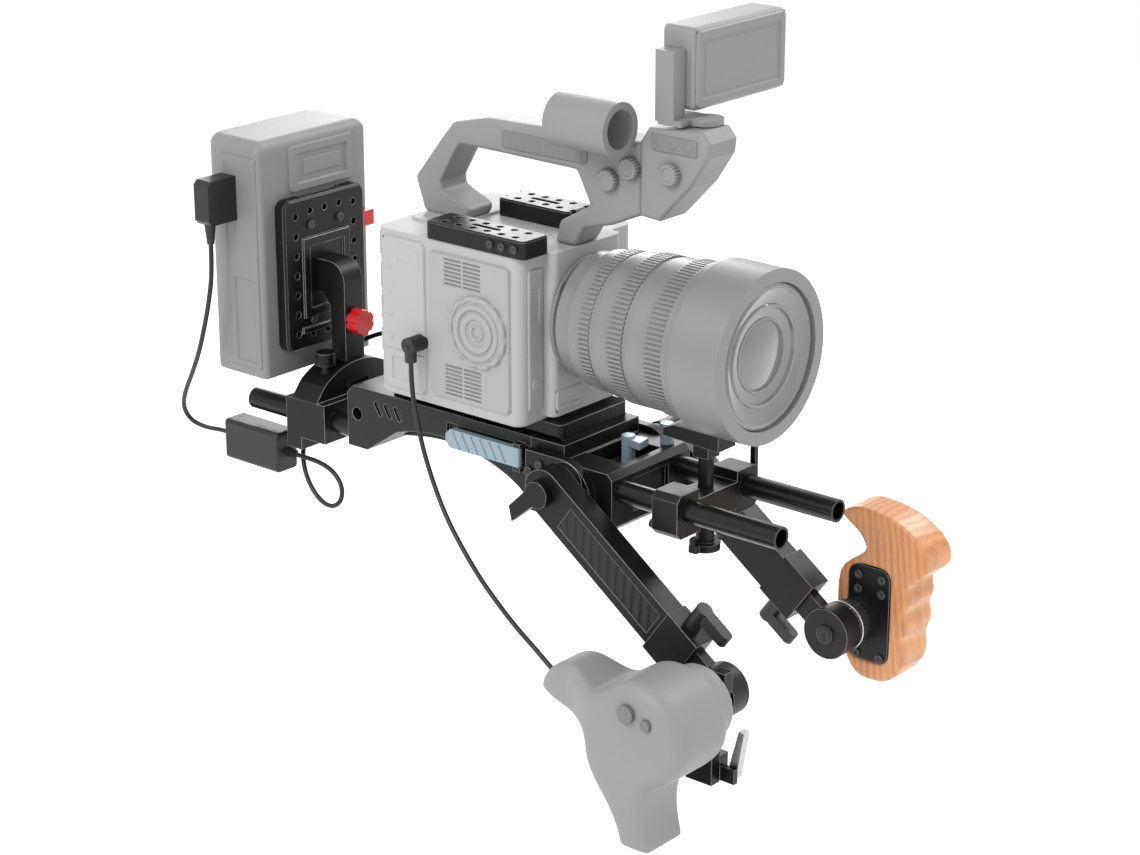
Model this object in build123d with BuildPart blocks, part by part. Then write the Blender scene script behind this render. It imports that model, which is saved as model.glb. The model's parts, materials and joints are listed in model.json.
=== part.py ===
from build123d import *
import math
import os

os.makedirs("parts", exist_ok=True)

# Cinema camera shoulder rig. Millimetres, +Z up, the lens looks along -Y, and -X is the
# operator's right. The origin is the tripod thread under the front block.

# ---- rods and base -------------------------------------------------------------------
ROD_D = 15.0
ROD_WALL = 1.6
ROD_SPACING = 60.0
ROD_FIT = 0.05
FRONT_ROD_Z = 27.0
FRONT_ROD_TIP_Y = -170.0
FRONT_ROD_DEPTH = 53.0
REAR_ROD_Z = 16.0
REAR_ROD_TIP_Y = 289.0
REAR_ROD_DEPTH = 14.0
BASE_HALF = 38.0
DECK_Z = 50.0
BLOCK_REAR_Y = 24.0
BLOCK_FRONT_Y = -45.0
BLOCK_HALF = 40.0
BLOCK_TOP_Z = 40.0
PLATE_REAR_Y = 190.0
PAD_T = 6.0
THREAD_38_D = 9.5
THREAD_14_D = 6.35
THREAD_DEPTH = 12.0
TOUCH_GAP = 0.3
BUTTON_FIT = 0.2

# ---- arms and hand grips ---------------------------------------------------------------
BRACKET_T = 6.0
BOSS_T = 6.0
BOSS_R = 14.0
PIVOT_Y = -11.4
PIVOT_Z = 28.8
ARM_DROP = 36.0
ARM_T = 15.6
ARM_H = 30.0
ARM_SLEEVE_L = 115.0
COLLAR_L = 28.0
COLLAR_PROUD = 2.0
BAR_H = 18.0
BAR_T = 8.0
BAR_FIT = 0.08
BAR_START = 47.0
BAR_BACK = 8.0
DRUM_CLEAR = 9.0
DRUM_R = 17.0
DRUM_AT = ARM_SLEEVE_L + COLLAR_L + DRUM_R + DRUM_CLEAR
PIN_R = 4.0
PIN_FIT = 0.05
RIGHT_ROSETTE_T = 9.5
LEFT_ROSETTE_T = 13.0
WOOD_T = 36.0
GRIP_T = 50.0

# ---- camera, lens and handle -------------------------------------------------------------
BODY_HALF = 57.0
BODY_FRONT_Y = 17.0
BODY_REAR_Y = 141.0
BODY_BOTTOM_Z = 61.0
BODY_TOP_Z = 174.0
LENS_Z = 128.0
NOSE_Y = 8.0
LENS_TIP_Y = -137.0
HANDLE_W = 26.0
TOP_PLATE_T = 12.0
MIC_R = 17.0
MIC_BORE_R = 12.5
MONITOR_W = 92.0
MONITOR_H = 51.0
MONITOR_T = 24.0

# ---- battery end ---------------------------------------------------------------------------
CLAMP_Y0 = 209.0
CLAMP_Y1 = 246.0
VPLATE_W = 78.0
VPLATE_H = 108.0
VPLATE_T = 9.0
VPLATE_Y = 245.0
VPLATE_Z = 113.0
BATTERY_W = 104.0
BATTERY_H = 167.0
BATTERY_T = 55.0
CABLE_D = 3.4
REMOTE_D = 3.2


def side_plane(x):
    """A plane across the rig at x, whose own axes are Y and Z."""
    return Plane(origin=(x, 0, 0), x_dir=(0, 1, 0), z_dir=(1, 0, 0))


def front_plane(y):
    """A plane at y that looks forward, whose own axes are X and Z."""
    return Plane(origin=(0, y, 0), x_dir=(1, 0, 0), z_dir=(0, -1, 0))


def save(part, name):
    part.part.label = name
    export_step(part.part, "parts/" + name + ".step")


def box_between(low, high, mode=Mode.ADD):
    """A box from its lowest to its highest corner, in the block that is open."""
    size = [high[i] - low[i] for i in range(3)]
    centre = [(high[i] + low[i]) / 2 for i in range(3)]
    with Locations(tuple(centre)):
        Box(*size, mode=mode)


def bore(x, y0, y1, z, radius, mode=Mode.SUBTRACT):
    """A round bar or hole along Y."""
    with BuildSketch(front_plane(y1)) as section:
        with Locations((x, z)):
            Circle(radius)
    extrude(section.sketch, amount=y1 - y0, mode=mode)


# ======== base ================================================================================

# shoulder plate: a long deck with an arched underside that rests on the shoulder
SIDE_LEVER_X = -BASE_HALF - 3.4
SIDE_LEVER_Y = 32.0
LEVER_PIN_R = 1.15
with BuildPart() as shoulder_plate:
    with BuildSketch(side_plane(-BASE_HALF)):
        with BuildLine():
            Polyline(
                (34, 12), (BLOCK_REAR_Y, 4), (BLOCK_REAR_Y, DECK_Z), (PLATE_REAR_Y - 6, DECK_Z),
                (PLATE_REAR_Y, DECK_Z - 6), (PLATE_REAR_Y, 6), (172, 6), (144, 25),
            )
            ThreePointArc((144, 25), (90, 31), (34, 12))
        make_face()
    extrude(amount=2 * BASE_HALF)
    # three slanted slots on each side wall
    for side in (-1, 1):
        with BuildSketch(side_plane(side * BASE_HALF - 2.5)):
            for slot_y in (143, 152, 161):
                with Locations((slot_y, 38)):
                    SlotOverall(11, 4, rotation=60)
        extrude(amount=5, mode=Mode.SUBTRACT)
        # long relief along each side wall, where the release lever lies
        box_between(
            (side * (BASE_HALF - 1) - 1.5, 26, 27), (side * (BASE_HALF - 1) + 1.5, 98, 43),
            mode=Mode.SUBTRACT,
        )
    # two ears that hold the side lever's pin
    for low in (25.6, 41.8):
        box_between((SIDE_LEVER_X - 2.4, 29, low), (-BASE_HALF, 35, low + 2.6))
    with Locations((SIDE_LEVER_X, SIDE_LEVER_Y, 35)):
        Cylinder(LEVER_PIN_R, 18.8)
    # the side hole through the rear block and two sockets for the rear rods
    with BuildSketch(side_plane(-BASE_HALF)):
        with Locations((181, 30)):
            Circle(4.5)
    extrude(amount=2 * BASE_HALF, mode=Mode.SUBTRACT)
    for x in (-ROD_SPACING / 2, ROD_SPACING / 2):
        bore(x, PLATE_REAR_Y - REAR_ROD_DEPTH, PLATE_REAR_Y + 1, REAR_ROD_Z, ROD_D / 2 + ROD_FIT)
save(shoulder_plate, "shoulder_plate")

# shoulder pad: a cushion under the arch, with the arch's own curve
with BuildPart() as shoulder_pad:
    with BuildSketch(side_plane(-BASE_HALF + 4)):
        with BuildLine():
            Line((144, 25), (144, 25 - PAD_T))
            ThreePointArc((144, 25 - PAD_T), (90, 31 - PAD_T), (34, 12 - PAD_T))
            Line((34, 12 - PAD_T), (34, 12))
            ThreePointArc((34, 12), (90, 31), (144, 25))
        make_face()
    extrude(amount=2 * BASE_HALF - 8)
save(shoulder_pad, "shoulder_pad")

# front block: holds the front rods, the arm brackets and the tripod thread
with BuildPart() as front_block:
    box_between((-BLOCK_HALF, BLOCK_FRONT_Y, 0), (BLOCK_HALF, BLOCK_REAR_Y, BLOCK_TOP_Z))
    chamfer(front_block.edges().filter_by(Axis.X).group_by(Axis.Y)[0], 4)
    for x in (-ROD_SPACING / 2, ROD_SPACING / 2):
        bore(x, BLOCK_FRONT_Y, BLOCK_FRONT_Y + FRONT_ROD_DEPTH, FRONT_ROD_Z, ROD_D / 2 + ROD_FIT)
    # shallow panel between the rods on the front, and a pocket for the front lever
    box_between((-18, BLOCK_FRONT_Y - 1, 10), (18, BLOCK_FRONT_Y + 3, 32), mode=Mode.SUBTRACT)
    box_between((-18, -36, 28), (21.5, -6, BLOCK_TOP_Z + 1), mode=Mode.SUBTRACT)
    # receiver on top that grips the camera plate
    box_between((-BLOCK_HALF + 2, -4, BLOCK_TOP_Z), (BLOCK_HALF - 2, BLOCK_REAR_Y, DECK_Z))
    # tripod threads on the underside: 3/8 in the middle, 1/4 behind it
    with BuildSketch(Plane.XY):
        Circle(THREAD_38_D / 2)
        with Locations((0, 15)):
            Circle(THREAD_14_D / 2)
    extrude(amount=THREAD_DEPTH, mode=Mode.SUBTRACT)
save(front_block, "front_block")

# camera plate: the slab screwed under the camera, which slides in the quick clamp
with BuildPart() as camera_plate:
    box_between((-34, 2, DECK_Z), (34, 152, BODY_BOTTOM_Z))
    chamfer(camera_plate.edges().filter_by(Axis.Y).group_by(Axis.Z)[0], 3)
    fillet(camera_plate.edges().filter_by(Axis.Z), 4)
save(camera_plate, "camera_plate")

# front and rear rods: two aluminium tubes each
with BuildPart() as front_rods:
    with BuildSketch(front_plane(BLOCK_FRONT_Y + FRONT_ROD_DEPTH)):
        with GridLocations(ROD_SPACING, 0, 2, 1):
            with Locations((0, FRONT_ROD_Z)):
                Circle(ROD_D / 2)
                Circle(ROD_D / 2 - ROD_WALL, mode=Mode.SUBTRACT)
    extrude(amount=BLOCK_FRONT_Y + FRONT_ROD_DEPTH - FRONT_ROD_TIP_Y)
save(front_rods, "front_rods")

with BuildPart() as rear_rods:
    with BuildSketch(front_plane(REAR_ROD_TIP_Y)):
        with GridLocations(ROD_SPACING, 0, 2, 1):
            with Locations((0, REAR_ROD_Z)):
                Circle(ROD_D / 2)
                Circle(ROD_D / 2 - ROD_WALL, mode=Mode.SUBTRACT)
    extrude(amount=REAR_ROD_TIP_Y - PLATE_REAR_Y + REAR_ROD_DEPTH)
save(rear_rods, "rear_rods")

# side release lever: a long ribbed lever that swings out from the near side wall
with BuildPart() as side_lever:
    box_between((SIDE_LEVER_X - 2.4, SIDE_LEVER_Y, 28.5), (SIDE_LEVER_X + 2.4, 94, 41.5))
    chamfer(side_lever.edges().filter_by(Axis.X).group_by(Axis.Y)[-1], 4)
    with Locations((SIDE_LEVER_X, SIDE_LEVER_Y, 35)):
        Cylinder(2.4, 13)
        Cylinder(LEVER_PIN_R + PIN_FIT, 14, mode=Mode.SUBTRACT)
    for rib_y in range(44, 88, 8):
        with BuildSketch(side_plane(SIDE_LEVER_X - 3)):
            with Locations((rib_y, 35)):
                SlotOverall(13, 2.2, rotation=60)
        extrude(amount=1.4, mode=Mode.SUBTRACT)
save(side_lever, "side_lever")


def thumb_lever(x, y, z, reach, height):
    """A small cast lever: an upright hub with a hand-shaped wing pointing forward."""
    with BuildPart() as lever:
        with Locations((x, y, z + height / 2)):
            Cylinder(4.5, height)
        with BuildSketch(Plane.XY.offset(z + height - 6)):
            with BuildLine():
                Polyline(
                    (x - 3.5, y), (x - 6, y - reach), (x + 6, y - reach + 2), (x + 3.5, y),
                    close=True,
                )
            make_face()
        extrude(amount=5)
    return lever


FRONT_LEVER = (11.0, -17.0)
LOCK_LEVER = (30.0, -34.0)
front_lever = thumb_lever(FRONT_LEVER[0], FRONT_LEVER[1], 28 + TOUCH_GAP, 14, 19)
save(front_lever, "front_lever")
rod_lock_lever = thumb_lever(LOCK_LEVER[0], LOCK_LEVER[1], BLOCK_TOP_Z + TOUCH_GAP, 10, 14)
save(rod_lock_lever, "rod_lock_lever")

# lens support: a bridge block clamped on both front rods, with a post and a cradle
SUPPORT_Y = -89.0
POST_R = 5.0
with BuildPart() as lens_support_block:
    box_between((-42, SUPPORT_Y - 10, 10), (42, SUPPORT_Y + 10, 39))
    box_between((-20, SUPPORT_Y - 11, 32), (20, SUPPORT_Y + 11, 40), mode=Mode.SUBTRACT)
    box_between((-18, SUPPORT_Y - 11, 9), (18, SUPPORT_Y + 11, 14), mode=Mode.SUBTRACT)
    chamfer(lens_support_block.edges().filter_by(Axis.Y).group_by(Axis.X)[0], 4)
    chamfer(lens_support_block.edges().filter_by(Axis.Y).group_by(Axis.X)[-1], 4)
    for x in (-ROD_SPACING / 2, ROD_SPACING / 2):
        bore(x, SUPPORT_Y - 11, SUPPORT_Y + 11, FRONT_ROD_Z, ROD_D / 2 + ROD_FIT)
    with Locations((0, SUPPORT_Y, 23)):
        Cylinder(POST_R + PIN_FIT, 30, mode=Mode.SUBTRACT)
save(lens_support_block, "lens_support_block")

# lens support post: slides up to the lens, with a flat cradle on top
with BuildPart() as lens_support_post:
    with Locations((0, SUPPORT_Y, 43)):
        Cylinder(POST_R, 38)
    box_between((-6, SUPPORT_Y - 6, 53), (6, SUPPORT_Y + 6, 61))
    with BuildSketch(side_plane(-9)):
        Polygon(
            (SUPPORT_Y - 16, 61), (SUPPORT_Y + 28, 63), (SUPPORT_Y + 28, 68),
            (SUPPORT_Y + 20, 71.5), (SUPPORT_Y - 16, 71.5), align=None,
        )
    extrude(amount=18)
save(lens_support_post, "lens_support_post")

# post knob: the T-shaped screw under the bridge
with BuildPart() as post_knob:
    with Locations((0, SUPPORT_Y, 4)):
        Cylinder(6, 19.4)
    with Locations((0, SUPPORT_Y, -7)):
        Cylinder(10, 5)
    box_between((-13, SUPPORT_Y - 3, -9.5), (13, SUPPORT_Y + 3, -4.5))
save(post_knob, "post_knob")

# bridge wing screw: clamps the bridge to the far rod from the side
with BuildPart() as bridge_wing:
    with BuildSketch(side_plane(42 + TOUCH_GAP)):
        with Locations((SUPPORT_Y - 4, 20)):
            Circle(6)
    extrude(amount=5)
    box_between((44, SUPPORT_Y - 6, 16), (47.3, SUPPORT_Y - 2, 48))
save(bridge_wing, "bridge_wing")

# ======== arms ==================================================================================


ARM_X = BLOCK_HALF + BRACKET_T + BOSS_T
DOWN = Vector(0, -math.cos(math.radians(ARM_DROP)), -math.sin(math.radians(ARM_DROP)))
ACROSS = Vector(0, -math.sin(math.radians(ARM_DROP)), math.cos(math.radians(ARM_DROP)))


def arm_plane(side, outward):
    """The arm's plane: its x runs down the arm, its normal points outward from the rig."""
    return Plane(origin=(side * (ARM_X + outward), PIVOT_Y, PIVOT_Z), x_dir=DOWN,
                 z_dir=(side, 0, 0))


def up(side, value):
    """A height across the arm in that plane, whose own y points down on the left side."""
    return -side * value


def arm_bracket(side):
    """A side bracket with its pivot boss, in the block that is open."""
    bracket_plane = Plane(origin=(side * BLOCK_HALF, 0, 0), x_dir=(0, side, 0), z_dir=(side, 0, 0))
    with BuildSketch(bracket_plane) as wall:
        with BuildLine():
            Polyline((-32 * side, 20), (-32 * side, 4), (22 * side, 4), (22 * side, 44),
                     (-8 * side, 44))
            RadiusArc((-8 * side, 44), (-32 * side, 20), -24 * side)
        make_face()
    extrude(wall.sketch, amount=BRACKET_T)
    with BuildSketch(arm_plane(side, -BOSS_T)) as boss:
        Circle(BOSS_R)
    extrude(boss.sketch, amount=BOSS_T)
    with BuildSketch(arm_plane(side, -BOSS_T - BRACKET_T)) as hole:
        Circle(PIN_R + PIN_FIT)
    extrude(hole.sketch, amount=BOSS_T + BRACKET_T, mode=Mode.SUBTRACT)


# arm brackets: a curved wall on each side of the front block, with the arm's pivot boss
with BuildPart() as arm_brackets:
    for side in (-1, 1):
        arm_bracket(side)
save(arm_brackets, "arm_brackets")


def arm_sleeve(side):
    """Outer arm: a ribbed tube with a round pivot end and a clamping collar."""
    near = TOUCH_GAP
    with BuildPart() as sleeve:
        with BuildSketch(arm_plane(side, near)):
            Circle(ARM_H / 2)
            with Locations((ARM_SLEEVE_L / 2, 0)):
                Rectangle(ARM_SLEEVE_L, ARM_H)
        extrude(amount=ARM_T)
        with BuildSketch(arm_plane(side, near)):
            with Locations((ARM_SLEEVE_L + COLLAR_L / 2, 0)):
                Rectangle(COLLAR_L, ARM_H + 2 * COLLAR_PROUD)
        extrude(amount=ARM_T + COLLAR_PROUD)
        with BuildSketch(arm_plane(side, near + (ARM_T - BAR_T) / 2 - BAR_FIT)):
            with Locations(((ARM_SLEEVE_L + COLLAR_L + BAR_START - BAR_BACK) / 2, 0)):
                Rectangle(ARM_SLEEVE_L + COLLAR_L - BAR_START + BAR_BACK, BAR_H + 2 * BAR_FIT)
        extrude(amount=BAR_T + 2 * BAR_FIT, mode=Mode.SUBTRACT)
        with BuildSketch(arm_plane(side, near)):
            Circle(PIN_R + PIN_FIT)
        extrude(amount=ARM_T, mode=Mode.SUBTRACT)
        # recess for the ribbed inlay on the outer face
        with BuildSketch(arm_plane(side, near + ARM_T - 1)):
            with Locations((ARM_SLEEVE_L / 2 + 9, 0)):
                Rectangle(ARM_SLEEVE_L - 26, BAR_H)
        extrude(amount=1, mode=Mode.SUBTRACT)
    return sleeve


def arm_bar(side):
    """Inner arm: a flat bar that slides in the sleeve and ends in a drum."""
    depth = TOUCH_GAP + (ARM_T - BAR_T) / 2
    with BuildPart() as bar:
        with BuildSketch(arm_plane(side, depth)):
            with Locations(((BAR_START + DRUM_AT) / 2, 0)):
                Rectangle(DRUM_AT - BAR_START, BAR_H)
        extrude(amount=BAR_T)
        with BuildSketch(arm_plane(side, TOUCH_GAP)):
            with Locations((DRUM_AT, 0)):
                Circle(DRUM_R)
        extrude(amount=ARM_T)
        with BuildSketch(arm_plane(side, TOUCH_GAP)):
            with Locations((DRUM_AT, 0)):
                Circle(PIN_R + PIN_FIT)
        extrude(amount=ARM_T, mode=Mode.SUBTRACT)
    return bar


def pivot_wing(side):
    """Wing screw on the arm's pivot: a bolt through arm and bracket, a hub and a wing."""
    outer = TOUCH_GAP + ARM_T + TOUCH_GAP
    with BuildPart() as wing:
        with BuildSketch(arm_plane(side, -BOSS_T - BRACKET_T + 1)):
            Circle(PIN_R)
        extrude(amount=outer + BOSS_T + BRACKET_T)
        with BuildSketch(arm_plane(side, outer)):
            Circle(9)
        extrude(amount=7)
        with BuildSketch(arm_plane(side, outer + 2)):
            Polygon((6, up(side, 5)), (-6, up(side, 5)), (-11, up(side, -23)), (-3, up(side, -30)),
                    align=None)
        extrude(amount=5)
    return wing


def clamp_lever(side, lift):
    """Ratchet lever on the collar: a screw out of the narrow face with a long bar on top."""
    across = ACROSS * lift
    middle = Vector(side * (ARM_X + TOUCH_GAP + ARM_T / 2), PIVOT_Y, PIVOT_Z)
    foot = middle + DOWN * (ARM_SLEEVE_L + 14) + across * (ARM_H / 2 + COLLAR_PROUD + TOUCH_GAP)
    with BuildPart() as lever:
        with BuildSketch(Plane(origin=foot, x_dir=DOWN, z_dir=across)):
            Circle(5.5)
        extrude(amount=17)
        with BuildSketch(Plane(origin=foot + across * 9, x_dir=DOWN, z_dir=across)):
            with Locations((10, 0)):
                SlotOverall(29, 8)
        extrude(amount=8)
    return lever


for side, hand, lift in ((-1, "right", 1), (1, "left", -1)):
    save(arm_sleeve(side), hand + "_arm_sleeve")
    save(arm_bar(side), hand + "_arm_bar")
    save(pivot_wing(side), hand + "_pivot_wing")
    save(clamp_lever(side, lift), hand + "_clamp_lever")

# hand ends start where the drum's outer face is
HAND_X = ARM_X + TOUCH_GAP + ARM_T + TOUCH_GAP
DRUM_Y = PIVOT_Y - DRUM_AT * math.cos(math.radians(ARM_DROP))
DRUM_Z = PIVOT_Z - DRUM_AT * math.sin(math.radians(ARM_DROP))


def hand_plane(x):
    """A plane across the rig at x, whose origin is on the hand axis and whose axes are Y and Z."""
    return Plane(origin=(x, DRUM_Y, DRUM_Z), x_dir=(0, 1, 0), z_dir=(1, 0, 0))


def hand_disc(side, start, thick, radius, hole=0.0, teeth=0, mode=Mode.ADD):
    """A disc on the hand axis, start and thick measured outward from the drum."""
    axis_plane = Plane(origin=(side * (HAND_X + start), DRUM_Y, DRUM_Z), x_dir=(0, 1, 0),
                       z_dir=(side, 0, 0))
    with BuildSketch(axis_plane) as section:
        Circle(radius)
        if hole:
            Circle(hole, mode=Mode.SUBTRACT)
        if teeth:
            with PolarLocations(radius, teeth):
                Circle(radius * 0.07, mode=Mode.SUBTRACT)
    extrude(section.sketch, amount=thick, mode=mode)


# left rosette: the toothed silver ring and its bolt
with BuildPart() as left_rosette:
    hand_disc(1, 0, LEFT_ROSETTE_T, 15.5, teeth=30)
    hand_disc(1, -ARM_T, ARM_T, PIN_R)
save(left_rosette, "left_rosette")

# right grip adapter: a rosette with a dovetail plate that reaches below the drum
QUICK_X = -HAND_X + 3
QUICK_Y = DRUM_Y - 14
QUICK_Z = DRUM_Z - 50
QUICK_T = 6.0
QUICK_PIN_R = 1.5
with BuildPart() as right_adapter:
    hand_disc(-1, 0, RIGHT_ROSETTE_T, 15.5, teeth=30)
    hand_disc(-1, -ARM_T, ARM_T, PIN_R)
    box_between((-HAND_X - 9.5, DRUM_Y - 8, DRUM_Z - 56), (-HAND_X - 1, DRUM_Y + 12, DRUM_Z - 8))
    box_between((-HAND_X - 1, DRUM_Y - 6, DRUM_Z - 56), (-HAND_X + 10, DRUM_Y + 8, DRUM_Z - 40))
    box_between((-HAND_X - 9.5, DRUM_Y - 17, DRUM_Z + 8), (-HAND_X - 2, DRUM_Y - 7, DRUM_Z + 22))
    # ear and pin for the quick lever
    box_between((-HAND_X - 1, QUICK_Y - 5, QUICK_Z - 5),
                (QUICK_X - TOUCH_GAP, DRUM_Y - 4, QUICK_Z + 5))
    with BuildSketch(side_plane(QUICK_X - 1)):
        with Locations((QUICK_Y, QUICK_Z)):
            Circle(QUICK_PIN_R)
    extrude(amount=QUICK_T + 1)
save(right_adapter, "right_adapter")

# quick lever: the polished lever that frees the dovetail
with BuildPart() as quick_lever:
    with BuildSketch(side_plane(QUICK_X)):
        with Locations((QUICK_Y, QUICK_Z)):
            Circle(4.5)
        Polygon((QUICK_Y - 4, QUICK_Z), (QUICK_Y - 9, QUICK_Z + 29), (QUICK_Y - 5, QUICK_Z + 30),
                (QUICK_Y + 2, QUICK_Z + 4), align=None)
        with Locations((QUICK_Y, QUICK_Z)):
            Circle(QUICK_PIN_R + PIN_FIT, mode=Mode.SUBTRACT)
    extrude(amount=QUICK_T)
save(quick_lever, "quick_lever")

# right grip: the camera's own detachable grip, with a palm swell and a rear horn
GRIP_IN = HAND_X + RIGHT_ROSETTE_T
GRIP_OUT = -GRIP_IN - 8 - GRIP_T
BUTTON_AT = (-1.9, 4.5)
BUTTON_R = 4.0
BUTTON_SINK = 2.0
BUTTON_PROUD = 1.5
DIAL_AT = (12.1, 8.5)
DIAL_R = 6.0
DIAL_T = 3.0
with BuildPart() as right_grip:
    with BuildSketch(hand_plane(GRIP_OUT)):
        with BuildLine():
            Spline(
                (91.1, -1.5), (82.1, 14.5), (66.1, 20.5), (44.1, 12.5), (22.1, 24.5), (2.1, 26.5),
                (-21.9, 10.5), (-27.9, -11.5), (-13.9, -33.5), (2.1, -45.5), (6.1, -65.5), (1.1, -87.5),
            )
            Line((1.1, -87.5), (24.1, -87.5))
            Spline((24.1, -87.5), (35.1, -61.5), (50.1, -35.5), (52.1, -17.5), (70.1, -9.5), (91.1, -1.5))
        make_face()
    extrude(amount=GRIP_T)
    fillet(right_grip.edges().group_by(Axis.X)[0], 9)
    fillet(right_grip.edges().group_by(Axis.X)[-1], 6)
    hand_disc(-1, RIGHT_ROSETTE_T, 9, 25)
    with BuildSketch(hand_plane(GRIP_OUT)):
        with Locations(BUTTON_AT):
            Circle(BUTTON_R + BUTTON_FIT)
    extrude(amount=BUTTON_SINK, mode=Mode.SUBTRACT)
save(right_grip, "right_grip")

# grip controls: a spring button in a pocket and a thumb dial
with BuildPart() as grip_button:
    with BuildSketch(hand_plane(GRIP_OUT - BUTTON_PROUD)):
        with Locations(BUTTON_AT):
            Circle(BUTTON_R)
    extrude(amount=BUTTON_SINK)
with BuildPart() as grip_dial:
    with BuildSketch(hand_plane(GRIP_OUT - DIAL_T)):
        with Locations(DIAL_AT):
            Circle(DIAL_R)
            with PolarLocations(DIAL_R, 24):
                Circle(0.4, mode=Mode.SUBTRACT)
    extrude(amount=DIAL_T - TOUCH_GAP)
save(grip_button, "grip_button")
save(grip_dial, "grip_dial")

# left handle: turned and shaped hardwood with finger waves and a hooked top
HANDLE_X = HAND_X + LEFT_ROSETTE_T
CORE_AT = (-12.9, 8.5)
CORE_W = 32.0
CORE_H = 66.0
CORE_T = 10.0
CORE_FIT = 0.1
with BuildPart() as wood_handle:
    with BuildSketch(hand_plane(HANDLE_X)):
        with BuildLine():
            Spline(
                (5.1, 72.5), (0.1, 79.5), (-11.9, 80.5), (-28.9, 77.5), (-44.9, 69.5),
                (-54.9, 58.5), (-55.9, 48.5), (-48.9, 40.5), (-41.9, 32.5), (-42.9, 23.5), (-39.9, 14.5),
                (-41.9, 4.5), (-38.9, -4.5), (-39.9, -17.5), (-33.9, -31.5), (-19.9, -37.5),
            )
            Spline((-19.9, -37.5), (-2.9, -34.5), (8.1, -13.5), (12.1, 14.5), (8.1, 39.5), (-1.9, 56.5),
                   (-0.9, 66.5), (5.1, 72.5))
        make_face()
    extrude(amount=WOOD_T)
    fillet(wood_handle.edges().group_by(Axis.X)[-1], 6)
    # window for the metal core
    with BuildSketch(hand_plane(HANDLE_X)):
        with Locations(CORE_AT):
            RectangleRounded(CORE_W, CORE_H, 8)
    extrude(amount=CORE_T, mode=Mode.SUBTRACT)
save(wood_handle, "wood_handle")

# handle core: the black metal insert that carries the rosette and its screws
with BuildPart() as handle_core:
    with BuildSketch(hand_plane(HANDLE_X)):
        with Locations(CORE_AT):
            RectangleRounded(CORE_W - 2 * CORE_FIT, CORE_H - 2 * CORE_FIT, 8 - CORE_FIT)
    extrude(amount=CORE_T)
    with BuildSketch(hand_plane(HANDLE_X)):
        for screw_z in (34.5, 24.5, -20.5):
            for screw_y in (-22.9, -4.9):
                with Locations((screw_y, screw_z)):
                    Circle(1.8)
    extrude(amount=2, mode=Mode.SUBTRACT)
save(handle_core, "handle_core")

# ======== camera =================================================================================

with BuildPart() as camera_body:
    box_between((-BODY_HALF, BODY_FRONT_Y, BODY_BOTTOM_Z), (BODY_HALF, BODY_REAR_Y, BODY_TOP_Z))
    fillet(camera_body.edges().filter_by(Axis.Z), 8)
    fillet(camera_body.edges().group_by(Axis.Z)[0], 3)
    box_between((-34, NOSE_Y, BODY_BOTTOM_Z + 4), (34, BODY_FRONT_Y + 9, BODY_TOP_Z))
    fillet(camera_body.edges().filter_by(Axis.Z).group_by(Axis.Y)[0], 5)
    # the covers of the four sockets on the near rear edge
    for cap_z in (94, 116, 138, 160):
        box_between((-BODY_HALF + 9, BODY_REAR_Y, cap_z - 8),
                    (-BODY_HALF + 27, BODY_REAR_Y + 5, cap_z + 8))
save(camera_body, "camera_body")

# side panel: the raised cooling panel with two grids of vents
with BuildPart() as vent_panel:
    with BuildSketch(side_plane(-BODY_HALF - 2)):
        with Locations((58.5, 118)):
            RectangleRounded(69, 98, 5)
    extrude(amount=2)
    with BuildSketch(side_plane(-BODY_HALF - 2)):
        for row_z in range(146, 164, 4):
            for slot_y in (56, 72):
                with Locations((slot_y, row_z)):
                    SlotOverall(13, 2)
        for row_z in range(76, 94, 4):
            for slot_y in (52, 68):
                with Locations((slot_y, row_z)):
                    SlotOverall(13, 2)
    extrude(amount=1.2, mode=Mode.SUBTRACT)
save(vent_panel, "vent_panel")

# side cap: the round cover over the grip rosette on the camera's side
SIDE_CAP_R = 24.0
with BuildPart() as side_cap:
    with BuildSketch(side_plane(-BODY_HALF - 5)):
        with Locations((50, 120)):
            Circle(SIDE_CAP_R)
    extrude(amount=3)
    chamfer(side_cap.edges().group_by(Axis.X)[0], 1)
save(side_cap, "side_cap")


def ring(y0, y1, outer, inner=0.0, teeth=0, mode=Mode.ADD):
    """A ring of the lens, from y0 forward to y1, with teeth cut round its edge."""
    with BuildSketch(front_plane(y0)) as section:
        with Locations((0, LENS_Z)):
            Circle(outer)
            if inner:
                Circle(inner, mode=Mode.SUBTRACT)
            if teeth:
                with PolarLocations(outer, teeth):
                    Rectangle(2.4, math.pi * outer / teeth, mode=Mode.SUBTRACT)
    extrude(section.sketch, amount=y0 - y1, mode=mode)


# lens barrel: the fixed tube that the three rings turn on, flared at the front
BARREL_R = 42.0
RING_FIT = 0.08
with BuildPart() as lens_barrel:
    ring(NOSE_Y, 0, 34)
    ring(0, -12, BARREL_R)
    ring(-12, -92, BARREL_R)
    ring(-92, -100, 52)
    ring(-100, LENS_TIP_Y, 55.5)
    ring(-124, LENS_TIP_Y, 47, mode=Mode.SUBTRACT)
    ring(-30.6, -34.4, 46, inner=BARREL_R - 1)
    ring(-58.6, -62.4, 48, inner=BARREL_R - 1)
save(lens_barrel, "lens_barrel")

# iris, zoom and focus rings
for name, y0, y1, outer, teeth in (
    ("iris_ring", -12.3, -30.3, 46.5, 90),
    ("zoom_ring", -34.7, -58.3, 49, 96),
    ("focus_ring", -62.7, -91.7, 50.5, 100),
):
    with BuildPart() as turning_ring:
        ring(y0, (y0 + y1) / 2, outer - 1.5, inner=BARREL_R + RING_FIT)
        ring((y0 + y1) / 2, y1, outer, inner=BARREL_R + RING_FIT, teeth=teeth)
    save(turning_ring, name)

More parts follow.
